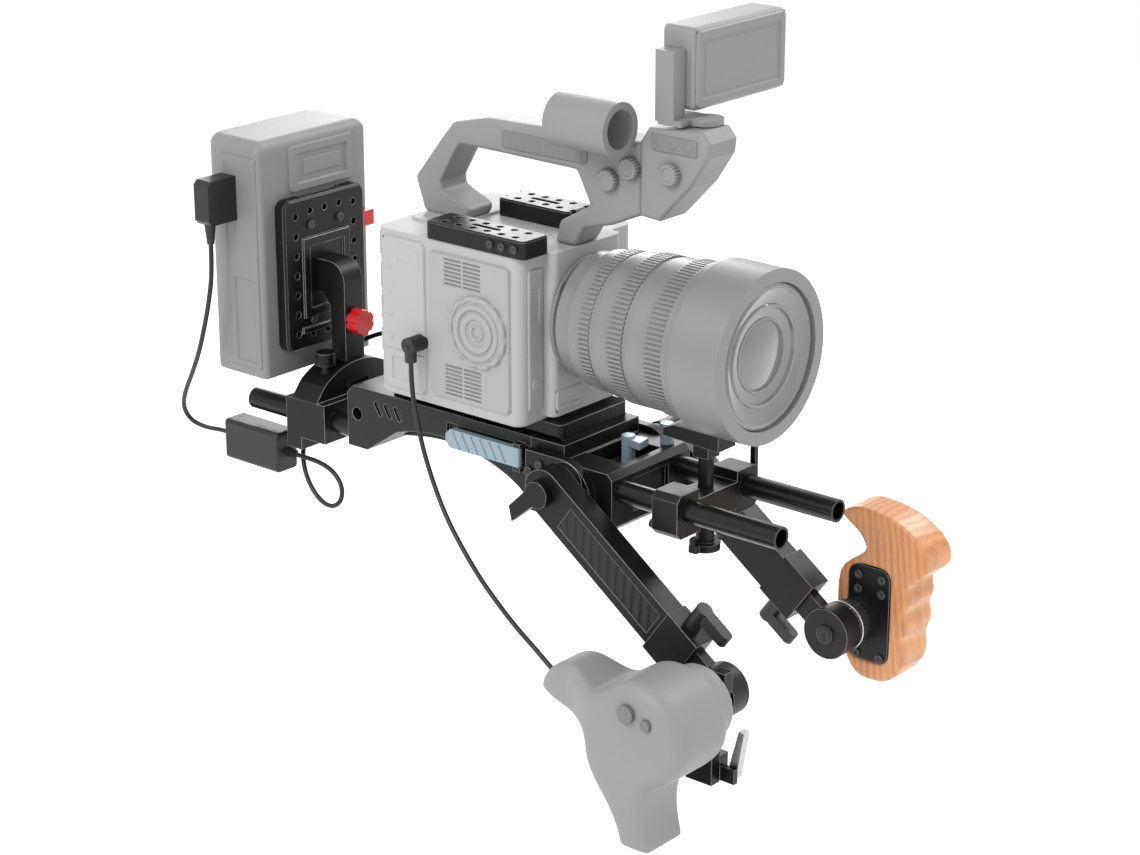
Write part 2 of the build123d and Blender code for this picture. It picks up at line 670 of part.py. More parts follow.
# front glass: the front element and its name ring, deep in the hood
with BuildPart() as front_glass:
    ring(-125, LENS_TIP_Y + 2, 47 - RING_FIT)
    ring(LENS_TIP_Y + 3.5, LENS_TIP_Y, 30, inner=24, mode=Mode.SUBTRACT)
save(front_glass, "front_glass")


def top_plate(x0, x1, y0, y1, name):
    """A top plate with rows of accessory threads."""
    with BuildPart() as plate:
        box_between((x0, y0, BODY_TOP_Z), (x1, y1, BODY_TOP_Z + TOP_PLATE_T))
        fillet(plate.edges().filter_by(Axis.Z), 4)
        chamfer(plate.edges().group_by(Axis.Z)[-1], 1)
        with BuildSketch(Plane.XY.offset(BODY_TOP_Z + TOP_PLATE_T)):
            with Locations(((x0 + x1) / 2, (y0 + y1) / 2)):
                with GridLocations((x1 - x0) / 2, 12, 2, 6):
                    Circle(THREAD_14_D / 2 - 0.6)
        extrude(amount=-6, mode=Mode.SUBTRACT)
        with BuildSketch(Plane.XY.offset(BODY_TOP_Z + TOP_PLATE_T)):
            with Locations(((x0 + x1) / 2, (y0 + y1) / 2)):
                SlotOverall(24, 4, rotation=90)
        extrude(amount=-4, mode=Mode.SUBTRACT)
    save(plate, name)


top_plate(-58, -33, 12, 96, "right_top_plate")
top_plate(HANDLE_W / 2 + 1, HANDLE_W / 2 + 28, 37, 98, "left_top_plate")

# top handle: a bridge over the camera, held at the rear and at the lens mount
with BuildPart() as top_handle:
    with BuildSketch(side_plane(-HANDLE_W / 2)):
        with BuildLine():
            Polyline(
                (139, BODY_TOP_Z), (146, 198), (113, 239), (84, 246), (-45, 250), (-45, 204),
                (-20, 193), (2, 187), (10, BODY_TOP_Z), (26, BODY_TOP_Z), (22, 189), (-3, 203),
                (8, 224), (89, 225), (98, 200), (100, BODY_TOP_Z), close=True,
            )
        make_face()
    extrude(amount=HANDLE_W)
    fillet(top_handle.edges().filter_by(Axis.X).filter_by(lambda e: e.center().Y > 60), 6)
    fillet(top_handle.edges().group_by(Axis.X)[0] + top_handle.edges().group_by(Axis.X)[-1], 3)
save(top_handle, "top_handle")

# microphone holder: an open tube clamped on the handle's near side
MIC_X = -HANDLE_W / 2 - MIC_R
MIC_Z = 261.0
with BuildPart() as mic_holder:
    bore(MIC_X, -42, 6, MIC_Z, MIC_R, mode=Mode.ADD)
    box_between((MIC_X, -34, MIC_Z - MIC_R), (-HANDLE_W / 2, -2, MIC_Z - 8))
    bore(MIC_X, -43, 7, MIC_Z, MIC_BORE_R)
save(mic_holder, "mic_holder")

# handle head: the control block at the handle's front end
with BuildPart() as handle_head:
    with BuildSketch(side_plane(-HANDLE_W / 2 - 2)):
        Polygon((-45, 252), (-51, 261), (-92, 264), (-98, 257), (-97, 248), (-84, 228),
                (-60, 203), (-45, 204), align=None)
    extrude(amount=HANDLE_W + 4)
    fillet(handle_head.edges().group_by(Axis.X)[0] + handle_head.edges().group_by(Axis.X)[-1], 3)
save(handle_head, "handle_head")

# monitor swivel: the disc and hinge block that turn on the head
HEAD_TOP_Z = 264.0
SWIVEL_AT = (6.0, -80.0)
MON_X0 = -2.0
MON_Y0 = -77.0
MON_Z0 = 272.0
TILT_AT = (-63.0, 298.0)
HINGE_PIN_R = 4.0
with BuildPart() as monitor_swivel:
    with Locations((SWIVEL_AT[0], SWIVEL_AT[1], HEAD_TOP_Z + TOUCH_GAP + 1.8)):
        Cylinder(11, 3.6)
    box_between((-14, -76, HEAD_TOP_Z + TOUCH_GAP), (14, -58, 267.9))
    box_between((-14, -70, 266), (MON_X0 - TOUCH_GAP, -56, 310))
    with BuildSketch(side_plane(MON_X0 - TOUCH_GAP)):
        with Locations(TILT_AT):
            Circle(HINGE_PIN_R)
    extrude(amount=8)
save(monitor_swivel, "monitor_swivel")

# monitor: the screen housing that tilts on the hinge block
with BuildPart() as monitor:
    box_between((MON_X0, MON_Y0, MON_Z0),
                (MON_X0 + MONITOR_W, MON_Y0 + MONITOR_T, MON_Z0 + MONITOR_H))
    fillet(monitor.edges().filter_by(Axis.Y), 4)
    fillet(monitor.edges().group_by(Axis.Y)[0], 3)
    with BuildSketch(side_plane(MON_X0)):
        with Locations(TILT_AT):
            Circle(HINGE_PIN_R + PIN_FIT)
    extrude(amount=9, mode=Mode.SUBTRACT)
    box_between((MON_X0 + 5, MON_Y0 + MONITOR_T - 1, MON_Z0 + 5),
                (MON_X0 + MONITOR_W - 5, MON_Y0 + MONITOR_T + 1, MON_Z0 + MONITOR_H - 5),
                mode=Mode.SUBTRACT)
save(monitor, "monitor")

# ======== battery end ==========================================================================

# rear clamp: grips both rear rods and carries the battery post
UPPER_KNOB = (-22.0, 226.0)
with BuildPart() as rear_clamp:
    box_between((-42, CLAMP_Y0, 2), (42, CLAMP_Y1, 30))
    box_between((-18, CLAMP_Y0 - 1, 1), (18, CLAMP_Y1 + 1, 12), mode=Mode.SUBTRACT)
    with BuildSketch(front_plane(CLAMP_Y1 - 6)):
        with BuildLine():
            Polyline((-42, 30), (42, 30), (34, 40))
            ThreePointArc((34, 40), (0, 52), (-34, 40))
            Line((-34, 40), (-42, 30))
        make_face()
    extrude(amount=24)
    for x in (-ROD_SPACING / 2, ROD_SPACING / 2):
        bore(x, CLAMP_Y0 - 1, CLAMP_Y1 + 1, REAR_ROD_Z, ROD_D / 2 + ROD_FIT)
    box_between((-10, CLAMP_Y0 - 1, 26), (10, CLAMP_Y1 + 1, 38), mode=Mode.SUBTRACT)
    # the hooked jaw under the near rod
    box_between((-42, 232, -7), (-20, CLAMP_Y1, 2))
    # hole for the upper knob's screw
    with Locations((UPPER_KNOB[0], UPPER_KNOB[1], 46)):
        Cylinder(3 + PIN_FIT, 12, mode=Mode.SUBTRACT)
save(rear_clamp, "rear_clamp")

# battery post: the curved arm that rises from the clamp to the battery plate
POST_HALF = 9.0
with BuildPart() as battery_post:
    with BuildSketch(side_plane(-POST_HALF)):
        with BuildLine():
            Polyline((219, 52), (219, 108))
            TangentArc((219, 108), (233, 122), tangent=(0, 1))
            Polyline((233, 122), (VPLATE_Y, 122), (VPLATE_Y, 98), (240, 98), (233, 90), (233, 52),
                     (219, 52))
        make_face()
    extrude(amount=2 * POST_HALF)
    with BuildSketch(front_plane(219)):
        with Locations((0, 80)):
            Circle(PIN_R + PIN_FIT)
    extrude(amount=-12, mode=Mode.SUBTRACT)
save(battery_post, "battery_post")

# tilt knob: the red star knob that locks the post
with BuildPart() as tilt_knob:
    with BuildSketch(front_plane(219 - TOUCH_GAP)):
        with Locations((0, 80)):
            Circle(9)
            with PolarLocations(10.5, 6):
                Circle(2.6, mode=Mode.SUBTRACT)
    extrude(amount=10)
    bore(0, 219 - TOUCH_GAP - 1, 230, 80, PIN_R, mode=Mode.ADD)
save(tilt_knob, "tilt_knob")

# clamp knobs: two knurled screws that close the rear clamp
with BuildPart() as upper_clamp_knob:
    with Locations((UPPER_KNOB[0], UPPER_KNOB[1], 56.5)):
        Cylinder(7, 9)
    with Locations((UPPER_KNOB[0], UPPER_KNOB[1], 47)):
        Cylinder(3, 11)
with BuildPart() as far_clamp_knob:
    with BuildSketch(side_plane(42 + TOUCH_GAP)):
        with Locations((228, 22)):
            Circle(8)
            with PolarLocations(8, 18):
                Circle(0.8, mode=Mode.SUBTRACT)
    extrude(amount=9)
save(upper_clamp_knob, "upper_clamp_knob")
save(far_clamp_knob, "far_clamp_knob")

# battery plate: a plate full of threads, with a wedge socket on its back
BUTTON_LOW = (VPLATE_Y + 1.5, 134.0)
BUTTON_HIGH = (VPLATE_Y + 7.5, 145.0)
BUTTON_POCKET = 6.0
BUTTON_TRAVEL = 3.0
with BuildPart() as battery_plate:
    with BuildSketch(front_plane(VPLATE_Y + VPLATE_T)):
        with Locations((0, VPLATE_Z)):
            RectangleRounded(VPLATE_W, VPLATE_H, 7)
    extrude(amount=VPLATE_T)
    chamfer(battery_plate.edges().group_by(Axis.Y)[0], 1.5)
    with BuildSketch(front_plane(VPLATE_Y)):
        for side in (-1, 1):
            with Locations((side * 28, VPLATE_Z)):
                with GridLocations(0, 14, 1, 7):
                    Circle(2.4)
        for end in (-1, 1):
            with Locations((0, VPLATE_Z + end * 44)):
                with GridLocations(14, 0, 3, 1):
                    Circle(2.4)
    extrude(amount=-4, mode=Mode.SUBTRACT)
    # wedge socket on the battery side
    with BuildSketch(front_plane(VPLATE_Y + VPLATE_T)):
        Polygon((-20, VPLATE_Z + 55), (20, VPLATE_Z + 55), (14, VPLATE_Z - 30), (-14, VPLATE_Z - 30),
                align=None)
    extrude(amount=4, mode=Mode.SUBTRACT)
    # pocket in the far edge that the release button travels in
    box_between(
        (VPLATE_W / 2 - BUTTON_POCKET, BUTTON_LOW[0] - BUTTON_FIT, BUTTON_LOW[1] - BUTTON_FIT),
        (VPLATE_W / 2 + 1, BUTTON_HIGH[0] + BUTTON_FIT, BUTTON_HIGH[1] + BUTTON_FIT),
        mode=Mode.SUBTRACT,
    )
save(battery_plate, "battery_plate")

# release button: the red spring button on the battery plate's edge
with BuildPart() as release_button:
    box_between(
        (VPLATE_W / 2 - BUTTON_POCKET + BUTTON_TRAVEL + TOUCH_GAP, *BUTTON_LOW),
        (VPLATE_W / 2 + 11, *BUTTON_HIGH),
    )
save(release_button, "release_button")

# battery: the block battery with its wedge
BATTERY_Y = VPLATE_Y + VPLATE_T + TOUCH_GAP
BATTERY_Z0 = 42.0
with BuildPart() as battery:
    box_between((-BATTERY_W / 2, BATTERY_Y, BATTERY_Z0),
                (BATTERY_W / 2, BATTERY_Y + BATTERY_T, BATTERY_Z0 + BATTERY_H))
    fillet(battery.edges().filter_by(Axis.Z).group_by(Axis.Y)[-1], 14)
    fillet(battery.edges().filter_by(Axis.Z).group_by(Axis.Y)[0], 4)
    fillet(battery.edges().group_by(Axis.Z)[-1], 8)
    with BuildSketch(front_plane(BATTERY_Y)):
        Polygon((-18, VPLATE_Z + 40), (18, VPLATE_Z + 40), (13, VPLATE_Z - 28),
                (-13, VPLATE_Z - 28), align=None)
    extrude(amount=3.8)
save(battery, "battery")

# power plug: the right-angled plug on the battery's side, with its strain relief
PLUG_Y = 283.0
with BuildPart() as power_plug:
    box_between((-79, PLUG_Y - 7, 153), (-BATTERY_W / 2, PLUG_Y + 7, 184))
    chamfer(power_plug.edges().filter_by(Axis.Y).group_by(Axis.X)[0], 3)
    with BuildSketch(Plane.XY.offset(153)):
        with Locations((-72, PLUG_Y)):
            Circle(4)
    extrude(amount=-14, taper=6)
save(power_plug, "power_plug")

# converter box: the small voltage converter that hangs between the cables
BOX_LOW = (-46.0, 253.0, -29.0)
BOX_HIGH = (-26.0, 306.0, 0.5)
with BuildPart() as converter_box:
    box_between(BOX_LOW, BOX_HIGH)
    fillet(converter_box.edges().filter_by(Axis.Y), 3)
    fillet(converter_box.edges().group_by(Axis.Y)[0] + converter_box.edges().group_by(Axis.Y)[-1], 1.5)
    bore(-36, BOX_HIGH[1], BOX_HIGH[1] + 6, -14, 3.2, mode=Mode.ADD)
    bore(-34, BOX_LOW[1] - 6, BOX_LOW[1], -16, 3.2, mode=Mode.ADD)
save(converter_box, "converter_box")

# ======== cables ================================================================================


def cable(points, diameter, name):
    """A round cable along straight runs joined by tangent arcs, as large as the runs allow."""
    route = [Vector(*p) for p in points]
    radii = []
    for a, b, c in zip(route, route[1:], route[2:]):
        turn = math.radians((b - a).get_angle(c - b))
        radii.append(0.45 * min((b - a).length, (c - b).length) / math.tan(turn / 2))
    with BuildPart() as tube:
        with BuildLine() as path:
            FilletPolyline(*route, radius=radii)
        with BuildSketch(Plane(origin=route[0], z_dir=route[1] - route[0])) as section:
            Circle(diameter / 2)
        sweep(section.sketch, path=path.line)
    length = sum(edge.length for edge in path.edges())
    section = math.pi * diameter ** 2 / 4
    print(name, "length", round(length, 1), "smallest radius", round(min(radii), 1),
          "volume ratio", round(tube.part.volume / (section * length), 3))
    save(tube, name)


POWER_ROUTE = (
    (-72, 283, 139), (-72, 283, 119), (-72, 287.5, 97), (-70, 296, 75), (-66, 307, 54),
    (-61, 321, 34), (-56, 335, 16), (-51.5, 342.5, 2), (-45.5, 341, -9.5), (-39.5, 331, -14),
    (-36, 321, -14), (-36, 312, -14),
)
cable(POWER_ROUTE, CABLE_D, "power_cable")

CAMERA_ROUTE = (
    (-34, 247, -16), (-34, 236, -16), (-33.6, 225, -16.4), (-33.6, 214, -18.6),
    (-34.5, 204.5, -23.5), (-36, 199, -31), (-37.5, 200, -39.5), (-39, 207, -44.5),
    (-39.5, 217, -42.5), (-38.5, 227, -35.5), (-35.5, 236, -27), (-30, 244, -17.5),
    (-21, 250, -6.5), (-10, 253, 5), (2, 253, 17), (12, 252, 30), (19, 248, 42), (23, 240, 53),
    (25, 227, 61), (26, 211, 67), (27, 193, 71), (27.6, 175, 72.8), (28, 157, 72), (28, 141, 72),
)
cable(CAMERA_ROUTE, CABLE_D, "camera_cable")

# remote plug: the right-angled plug in the camera's near side
REMOTE_Y = 101.0
with BuildPart() as remote_plug:
    with BuildSketch(side_plane(-BODY_HALF)):
        with Locations((REMOTE_Y, 103)):
            Circle(5.5)
    extrude(amount=-14)
    with Locations((-BODY_HALF - 11, REMOTE_Y, 97.5)):
        Cylinder(4, 11)
save(remote_plug, "remote_plug")

REMOTE_ROUTE = (
    (-68, 101, 92), (-68, 101, 75), (-71, 94, 55), (-75.5, 84, 36), (-80, 71, 17), (-85, 56, 0),
    (-90, 38, -15), (-96, 18, -28), (-101, -2, -39), (-106, -23, -49), (-110, -42, -56.5),
    (-112, -57.7, -65.2),
)
cable(REMOTE_ROUTE, REMOTE_D, "remote_cable")

# ======== fasteners ==============================================================================

# socket screws on the deck sides, in the battery plate and in the bridge
with BuildPart() as socket_screws:
    bore(-36, SUPPORT_Y + 10, SUPPORT_Y + 15, 14.5, 3, mode=Mode.ADD)
    for screw_y in (19, 10):
        with BuildSketch(side_plane(-BLOCK_HALF - BRACKET_T)):
            with Locations((screw_y, 36 if screw_y == 10 else 30)):
                Circle(3)
        extrude(amount=-1.6)
    for z in (VPLATE_Z + 34, VPLATE_Z - 34):
        bore(-14, VPLATE_Y - 1.5, VPLATE_Y, z, 3, mode=Mode.ADD)
        bore(14, VPLATE_Y - 1.5, VPLATE_Y, z, 3, mode=Mode.ADD)
save(socket_screws, "socket_screws")
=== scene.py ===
import json
import math
import bmesh
import bpy
import numpy as np
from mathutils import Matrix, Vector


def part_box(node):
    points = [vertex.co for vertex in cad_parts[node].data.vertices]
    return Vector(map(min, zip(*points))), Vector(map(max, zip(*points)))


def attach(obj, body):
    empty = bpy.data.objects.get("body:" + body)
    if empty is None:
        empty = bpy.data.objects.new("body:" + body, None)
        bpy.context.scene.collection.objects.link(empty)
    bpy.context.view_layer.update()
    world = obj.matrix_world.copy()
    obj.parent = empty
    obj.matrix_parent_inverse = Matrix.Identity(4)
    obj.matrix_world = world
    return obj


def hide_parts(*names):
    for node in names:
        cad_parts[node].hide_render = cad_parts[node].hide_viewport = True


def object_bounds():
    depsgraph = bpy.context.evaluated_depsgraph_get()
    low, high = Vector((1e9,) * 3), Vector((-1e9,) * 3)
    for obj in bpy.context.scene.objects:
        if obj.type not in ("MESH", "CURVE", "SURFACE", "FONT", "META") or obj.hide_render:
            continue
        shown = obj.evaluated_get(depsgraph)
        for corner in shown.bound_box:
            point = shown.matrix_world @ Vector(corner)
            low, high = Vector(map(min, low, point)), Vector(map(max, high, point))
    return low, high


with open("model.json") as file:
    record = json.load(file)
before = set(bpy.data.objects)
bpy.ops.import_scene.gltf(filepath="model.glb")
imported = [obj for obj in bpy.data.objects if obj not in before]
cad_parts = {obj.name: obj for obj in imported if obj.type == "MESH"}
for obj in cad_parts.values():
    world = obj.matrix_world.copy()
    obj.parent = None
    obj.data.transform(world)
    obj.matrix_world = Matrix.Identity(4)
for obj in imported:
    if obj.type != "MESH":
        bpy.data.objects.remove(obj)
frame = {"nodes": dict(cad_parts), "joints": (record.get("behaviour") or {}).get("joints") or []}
cad_low, cad_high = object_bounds()
nodes = frame["nodes"]
joints = {joint["name"]: joint for joint in frame["joints"]}

# ---- Studio ----------------------------------------------------------------------------
# A long lens looks down at the rig from the operator's right front. The rig floats over a
# pale floor, between a broad key light, a softer fill and two lights that draw its edges.
camera_data = bpy.data.cameras.new("studio_camera")
camera_data.sensor_width = 36.0
camera_data.lens = 87.9
camera_data.clip_end = 30.0
camera = bpy.data.objects.new("studio_camera", camera_data)
camera.location = (-1.31224, -1.08446, 0.65784)
camera.rotation_euler = (math.radians(70.39), 0.0, math.radians(-49.83))
bpy.context.collection.objects.link(camera)
bpy.context.scene.camera = camera


def soft_light(name, place, aim, width, power, tint=(1.0, 1.0, 1.0)):
    """A square area light at place that faces aim."""
    lamp = bpy.data.lights.new(name, "AREA")
    lamp.shape = "SQUARE"
    lamp.size = width
    lamp.energy = power
    lamp.color = tint
    lamp_object = bpy.data.objects.new(name, lamp)
    lamp_object.location = place
    direction = np.subtract(aim, place)
    flat = math.hypot(direction[0], direction[1])
    lamp_object.rotation_euler = (
        math.atan2(flat, -direction[2]), 0.0, math.atan2(-direction[0], direction[1]),
    )
    bpy.context.collection.objects.link(lamp_object)


middle = (0.0, 0.05, 0.08)
soft_light("key_light", (-1.6, 0.1, 1.5), middle, 0.8, 22.0)
soft_light("fill_light", (-0.3, -1.9, 0.5), middle, 1.4, 2.5)
soft_light("edge_light", (1.35, -0.25, 1.3), middle, 0.7, 14.0)
soft_light("back_light", (1.2, 1.2, 0.65), middle, 0.6, 9.0)

sky = bpy.data.worlds.new("studio_sky")
sky.use_nodes = True
sky.node_tree.nodes["Background"].inputs["Color"].default_value = (1.0, 1.0, 1.0, 1.0)
sky.node_tree.nodes["Background"].inputs["Strength"].default_value = 1.0
bpy.context.scene.world = sky
bpy.context.scene.view_settings.view_transform = "Standard"

# ---- Cables ----------------------------------------------------------------------------
# Three thin round cables in black rubber: battery to converter, converter to camera, and
# camera to hand grip. Each is its own length, and hangs between its two plugs.


class Wire:
    """A shader socket: an operator on it adds the Math node that it needs."""

    def __init__(self, coat, socket):
        self.coat = coat
        self.socket = socket

    def maths(self, operation, first, second=0.0):
        return self.coat.node("ShaderNodeMath", {"operation": operation}, {0: first, 1: second})

    def __add__(self, other):
        return self.maths("ADD", self, other)

    def __sub__(self, other):
        return self.maths("SUBTRACT", self, other)

    def __rsub__(self, other):
        return self.maths("SUBTRACT", other, self)

    def __mul__(self, other):
        return self.maths("MULTIPLY", self, other)

    def clamped(self):
        return self.coat.node("ShaderNodeClamp", {}, {"Value": self})

    __radd__ = __add__
    __rmul__ = __mul__


class Coat:
    """One material: node() adds a node, and skin() closes it with the surface shader."""

    def __init__(self, name):
        self.material = bpy.data.materials.new(name)
        self.material.use_nodes = True
        self.tree = self.material.node_tree
        self.tree.nodes.clear()
        self.place = self.node("ShaderNodeTexCoord", {}, {}, "Object")

    def node(self, kind, settings, sockets, output=0):
        made = self.tree.nodes.new(kind)
        for key, value in settings.items():
            setattr(made, key, value)
        for key, value in sockets.items():
            if isinstance(value, Wire):
                self.tree.links.new(value.socket, made.inputs[key])
            else:
                made.inputs[key].default_value = value
        return Wire(self, made.outputs[output]) if made.outputs else None

    def stretched(self, scale, turn=(0.0, 0.0, 0.0)):
        """Object coordinates, turned and then scaled per axis."""
        turned = self.node("ShaderNodeMapping", {"vector_type": "POINT"},
                           {"Vector": self.place, "Rotation": turn})
        return self.node("ShaderNodeVectorMath", {"operation": "MULTIPLY"},
                         {0: turned, 1: scale})

    def noise(self, scale, detail=2.0, place=None, rough=0.5):
        return self.node("ShaderNodeTexNoise", {}, {
            "Vector": place or self.place, "Scale": scale, "Detail": detail, "Roughness": rough,
        }, "Fac")

    def blend(self, factor, first, second):
        return self.node("ShaderNodeMix", {"data_type": "RGBA"}, {0: factor, 6: first, 7: second},
                         2)

    def edge(self, radius):
        """How close an outside corner is, and the normal rounded over it."""
        rounded = self.node("ShaderNodeBevel", {"samples": 6}, {"Radius": radius})
        flat = self.node("ShaderNodeNewGeometry", {}, {}, "Normal")
        facing = self.node("ShaderNodeVectorMath", {"operation": "DOT_PRODUCT"},
                           {0: rounded, 1: flat}, "Value")
        return 1.0 - facing, rounded

    def bump(self, height, depth, normal=None):
        sockets = {"Height": height, "Distance": depth, "Strength": 1.0}
        if normal:
            sockets["Normal"] = normal
        return self.node("ShaderNodeBump", {}, sockets)

    def skin(self, colour, roughness, normal=None, metallic=0.0, **settings):
        sockets = {"Base Color": colour, "Roughness": roughness, "Metallic": metallic}
        if normal:
            sockets["Normal"] = normal
        for key, value in settings.items():
            sockets[key.replace("_", " ").title().replace("Ior", "IOR")] = value
        shader = self.node("ShaderNodeBsdfPrincipled", {}, sockets)
        self.node("ShaderNodeOutputMaterial", {}, {"Surface": shader})
        return self.material


def grey(level):
    return (level, level, level, 1.0)


jacket_coat = Coat("cable_jacket")
jacket_fleck = jacket_coat.noise(1400.0, 3.0)
jacket = jacket_coat.skin(
    jacket_coat.blend(jacket_fleck, grey(0.005), grey(0.011)),
    0.42 + (jacket_fleck - 0.5) * 0.2, jacket_coat.bump(jacket_fleck, 0.00003),
)


def cable(name, route, diameter):
    """A round cable on a smooth line whose control points are route, in metres."""
    line = bpy.data.curves.new(name, "CURVE")
    line.dimensions = "3D"
    line.resolution_u = 10
    line.bevel_depth = diameter / 2
    line.bevel_resolution = 5
    line.use_fill_caps = True
    spline = line.splines.new("NURBS")
    spline.points.add(len(route) - 1)
    for control, place in zip(spline.points, route):
        control.co = (*place, 1.0)
    spline.order_u = 3
    spline.use_endpoint_u = True
    line.materials.append(jacket)
    piece = bpy.data.objects.new(name, line)
    bpy.context.collection.objects.link(piece)
    return piece


power_route = (
    (-0.072, 0.283, 0.139), (-0.072, 0.283, 0.119), (-0.072, 0.2875, 0.097), (-0.070, 0.296, 0.075),
    (-0.066, 0.307, 0.054), (-0.061, 0.321, 0.034), (-0.056, 0.335, 0.016),
    (-0.0515, 0.3425, 0.002), (-0.0455, 0.341, -0.0095), (-0.0395, 0.331, -0.014),
    (-0.036, 0.321, -0.014), (-0.036, 0.312, -0.014),
)
thin_cable = 0.0034
power_cable = cable("battery_to_converter", power_route, thin_cable)
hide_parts("power_cable")
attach(power_cable, "rig")

camera_route = (
    (-0.034, 0.247, -0.016), (-0.034, 0.236, -0.016), (-0.0336, 0.225, -0.0164),
    (-0.0336, 0.214, -0.0186), (-0.0345, 0.2045, -0.0235), (-0.036, 0.199, -0.031),
    (-0.0375, 0.200, -0.0395), (-0.039, 0.207, -0.0445), (-0.0395, 0.217, -0.0425),
    (-0.0385, 0.227, -0.0355), (-0.0355, 0.236, -0.027), (-0.030, 0.244, -0.0175),
    (-0.021, 0.250, -0.0065), (-0.010, 0.253, 0.005), (0.002, 0.253, 0.017), (0.012, 0.252, 0.030),
    (0.019, 0.248, 0.042), (0.023, 0.240, 0.053), (0.025, 0.227, 0.061), (0.026, 0.211, 0.067),
    (0.027, 0.193, 0.071), (0.0276, 0.175, 0.0728), (0.028, 0.157, 0.072), (0.028, 0.141, 0.072),
)
camera_cable = cable("converter_to_camera", camera_route, thin_cable)
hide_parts("camera_cable")
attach(camera_cable, "rig")

remote_route = (
    (-0.068, 0.101, 0.092), (-0.068, 0.101, 0.075), (-0.071, 0.094, 0.055),
    (-0.0755, 0.084, 0.036), (-0.080, 0.071, 0.017), (-0.085, 0.056, 0.0), (-0.090, 0.038, -0.015),
    (-0.096, 0.018, -0.028), (-0.101, -0.002, -0.039), (-0.106, -0.023, -0.049),
    (-0.110, -0.042, -0.0565), (-0.112, -0.0577, -0.0652),
)
remote_cable = cable("camera_to_grip", remote_route, 0.0032)
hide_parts("remote_cable")
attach(remote_cable, "rig")

# ---- Shoulder plate, front block and rods ----------------------------------------------
# The long deck is machined from one bar and anodised graphite grey. The front block and the
# clamps are blacker, and the four rods are drawn tubes with a satin skin.


def anodised(name, base, edge_highlight_grey, rough, grain=0.00002):
    """Blasted and anodised aluminium: a fine grain, cloudy gloss, and corners made paler by a
    painted highlight.
    """
    coat = Coat(name)
    near, rounded = coat.edge(0.0009)
    grit = coat.noise(3200.0, 3.0)
    cloud = coat.noise(38.0, 3.0)
    # Corners blended to the second grey: a painted highlight from the bevel mask, broken up by
    # noise.
    painted_highlight_mask = (near * 5.0 * (0.35 + coat.noise(240.0, 3.0))).clamped()
    colour = coat.blend(painted_highlight_mask, coat.blend(cloud, base, tuple(0.78 * c for c in base[:3]) + (1.0,)),
                        edge_highlight_grey)
    roughness = rough + (cloud - 0.5) * 0.12 + (grit - 0.5) * 0.14 - painted_highlight_mask * 0.08
    return coat.skin(colour, roughness, coat.bump(grit, grain, rounded), 0.2,
                     specular_ior_level=0.32)


def paint(material, *names):
    """Puts one finish on several of the frame's parts."""
    for name in names:
        for holder in nodes[name].material_slots:
            holder.material = material
        if not nodes[name].material_slots:
            nodes[name].data.materials.append(material)


# The second grey of each anodised finish is the painted highlight on its corners.
black = anodised("black_anodised", grey(0.006), grey(0.34), 0.40)
deep_black = anodised("deep_black_anodised", grey(0.004), grey(0.26), 0.36)
graphite = anodised("graphite_anodised", grey(0.013), grey(0.34), 0.42)
rod_coat = Coat("satin_rod")
rod_lines = rod_coat.noise(1.0, 3.0, rod_coat.stretched((2600.0, 60.0, 2600.0)))
rod_cloud = rod_coat.noise(45.0, 3.0)
rod_highlight_edge, rod_round = rod_coat.edge(0.0004)
rod_skin = rod_coat.skin(
    # The rods' corners are blended to a paler grey: a painted highlight from the bevel mask.
    rod_coat.blend((rod_highlight_edge * 4.0).clamped(), rod_coat.blend(rod_lines, grey(0.005), grey(0.010)),
                   grey(0.12)),
    0.27 + (rod_lines - 0.5) * 0.14 + (rod_cloud - 0.5) * 0.08,
    rod_coat.bump(rod_lines, 0.00001, rod_round), 0.4,
)
paint(graphite, "shoulder_plate")
paint(black, "front_block", "arm_brackets", "camera_plate", "rear_clamp", "battery_post",
      "battery_plate", "lens_support_block", "lens_support_post", "right_top_plate",
      "left_top_plate")
paint(rod_skin, "front_rods", "rear_rods")
paint(deep_black, "post_knob", "bridge_wing", "upper_clamp_knob", "far_clamp_knob",
      "right_pivot_wing", "left_pivot_wing", "right_adapter", "handle_core")

# ---- Shoulder pad ----------------------------------------------------------------------
# A closed-cell foam cushion, skinned in rubber and stuck under the arch. It follows the arch,
# swells between its edges, and has two moulded grooves along it.


def piece_from(name, points, faces, body, material, slot, smooth=True):
    """A mesh object from an array of points and one of faces, closed and facing outwards."""
    mesh = bpy.data.meshes.new(name)
    mesh.from_pydata(np.asarray(points).tolist(), [], [tuple(face) for face in faces])
    mesh.update()
    shell = bmesh.new()
    shell.from_mesh(mesh)
    bmesh.ops.remove_doubles(shell, verts=shell.verts, dist=1e-7)
    bmesh.ops.recalc_face_normals(shell, faces=shell.faces)
    shell.to_mesh(mesh)
    shell.free()
    mesh.polygons.foreach_set("use_smooth", [smooth] * len(mesh.polygons))
    if smooth:
        mesh.set_sharp_from_angle(angle=math.radians(35.0))
    piece = bpy.data.objects.new(name, mesh)
    bpy.context.collection.objects.link(piece)
    piece.data.materials.append(material)
    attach(piece, body)
    return piece


foam_coat = Coat("pad_foam")
foam_cells = foam_coat.node("ShaderNodeTexVoronoi", {"feature": "F1"},
                            {"Vector": foam_coat.place, "Scale": 1100.0})
foam_cloud = foam_coat.noise(60.0, 4.0)
foam = foam_coat.skin(
    foam_coat.blend(foam_cloud, grey(0.016), grey(0.030)), 0.78 + (foam_cells - 0.4) * 0.2,
    foam_coat.bump(foam_cells + foam_cloud, 0.00012),
)
pad_low, pad_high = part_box("shoulder_pad")


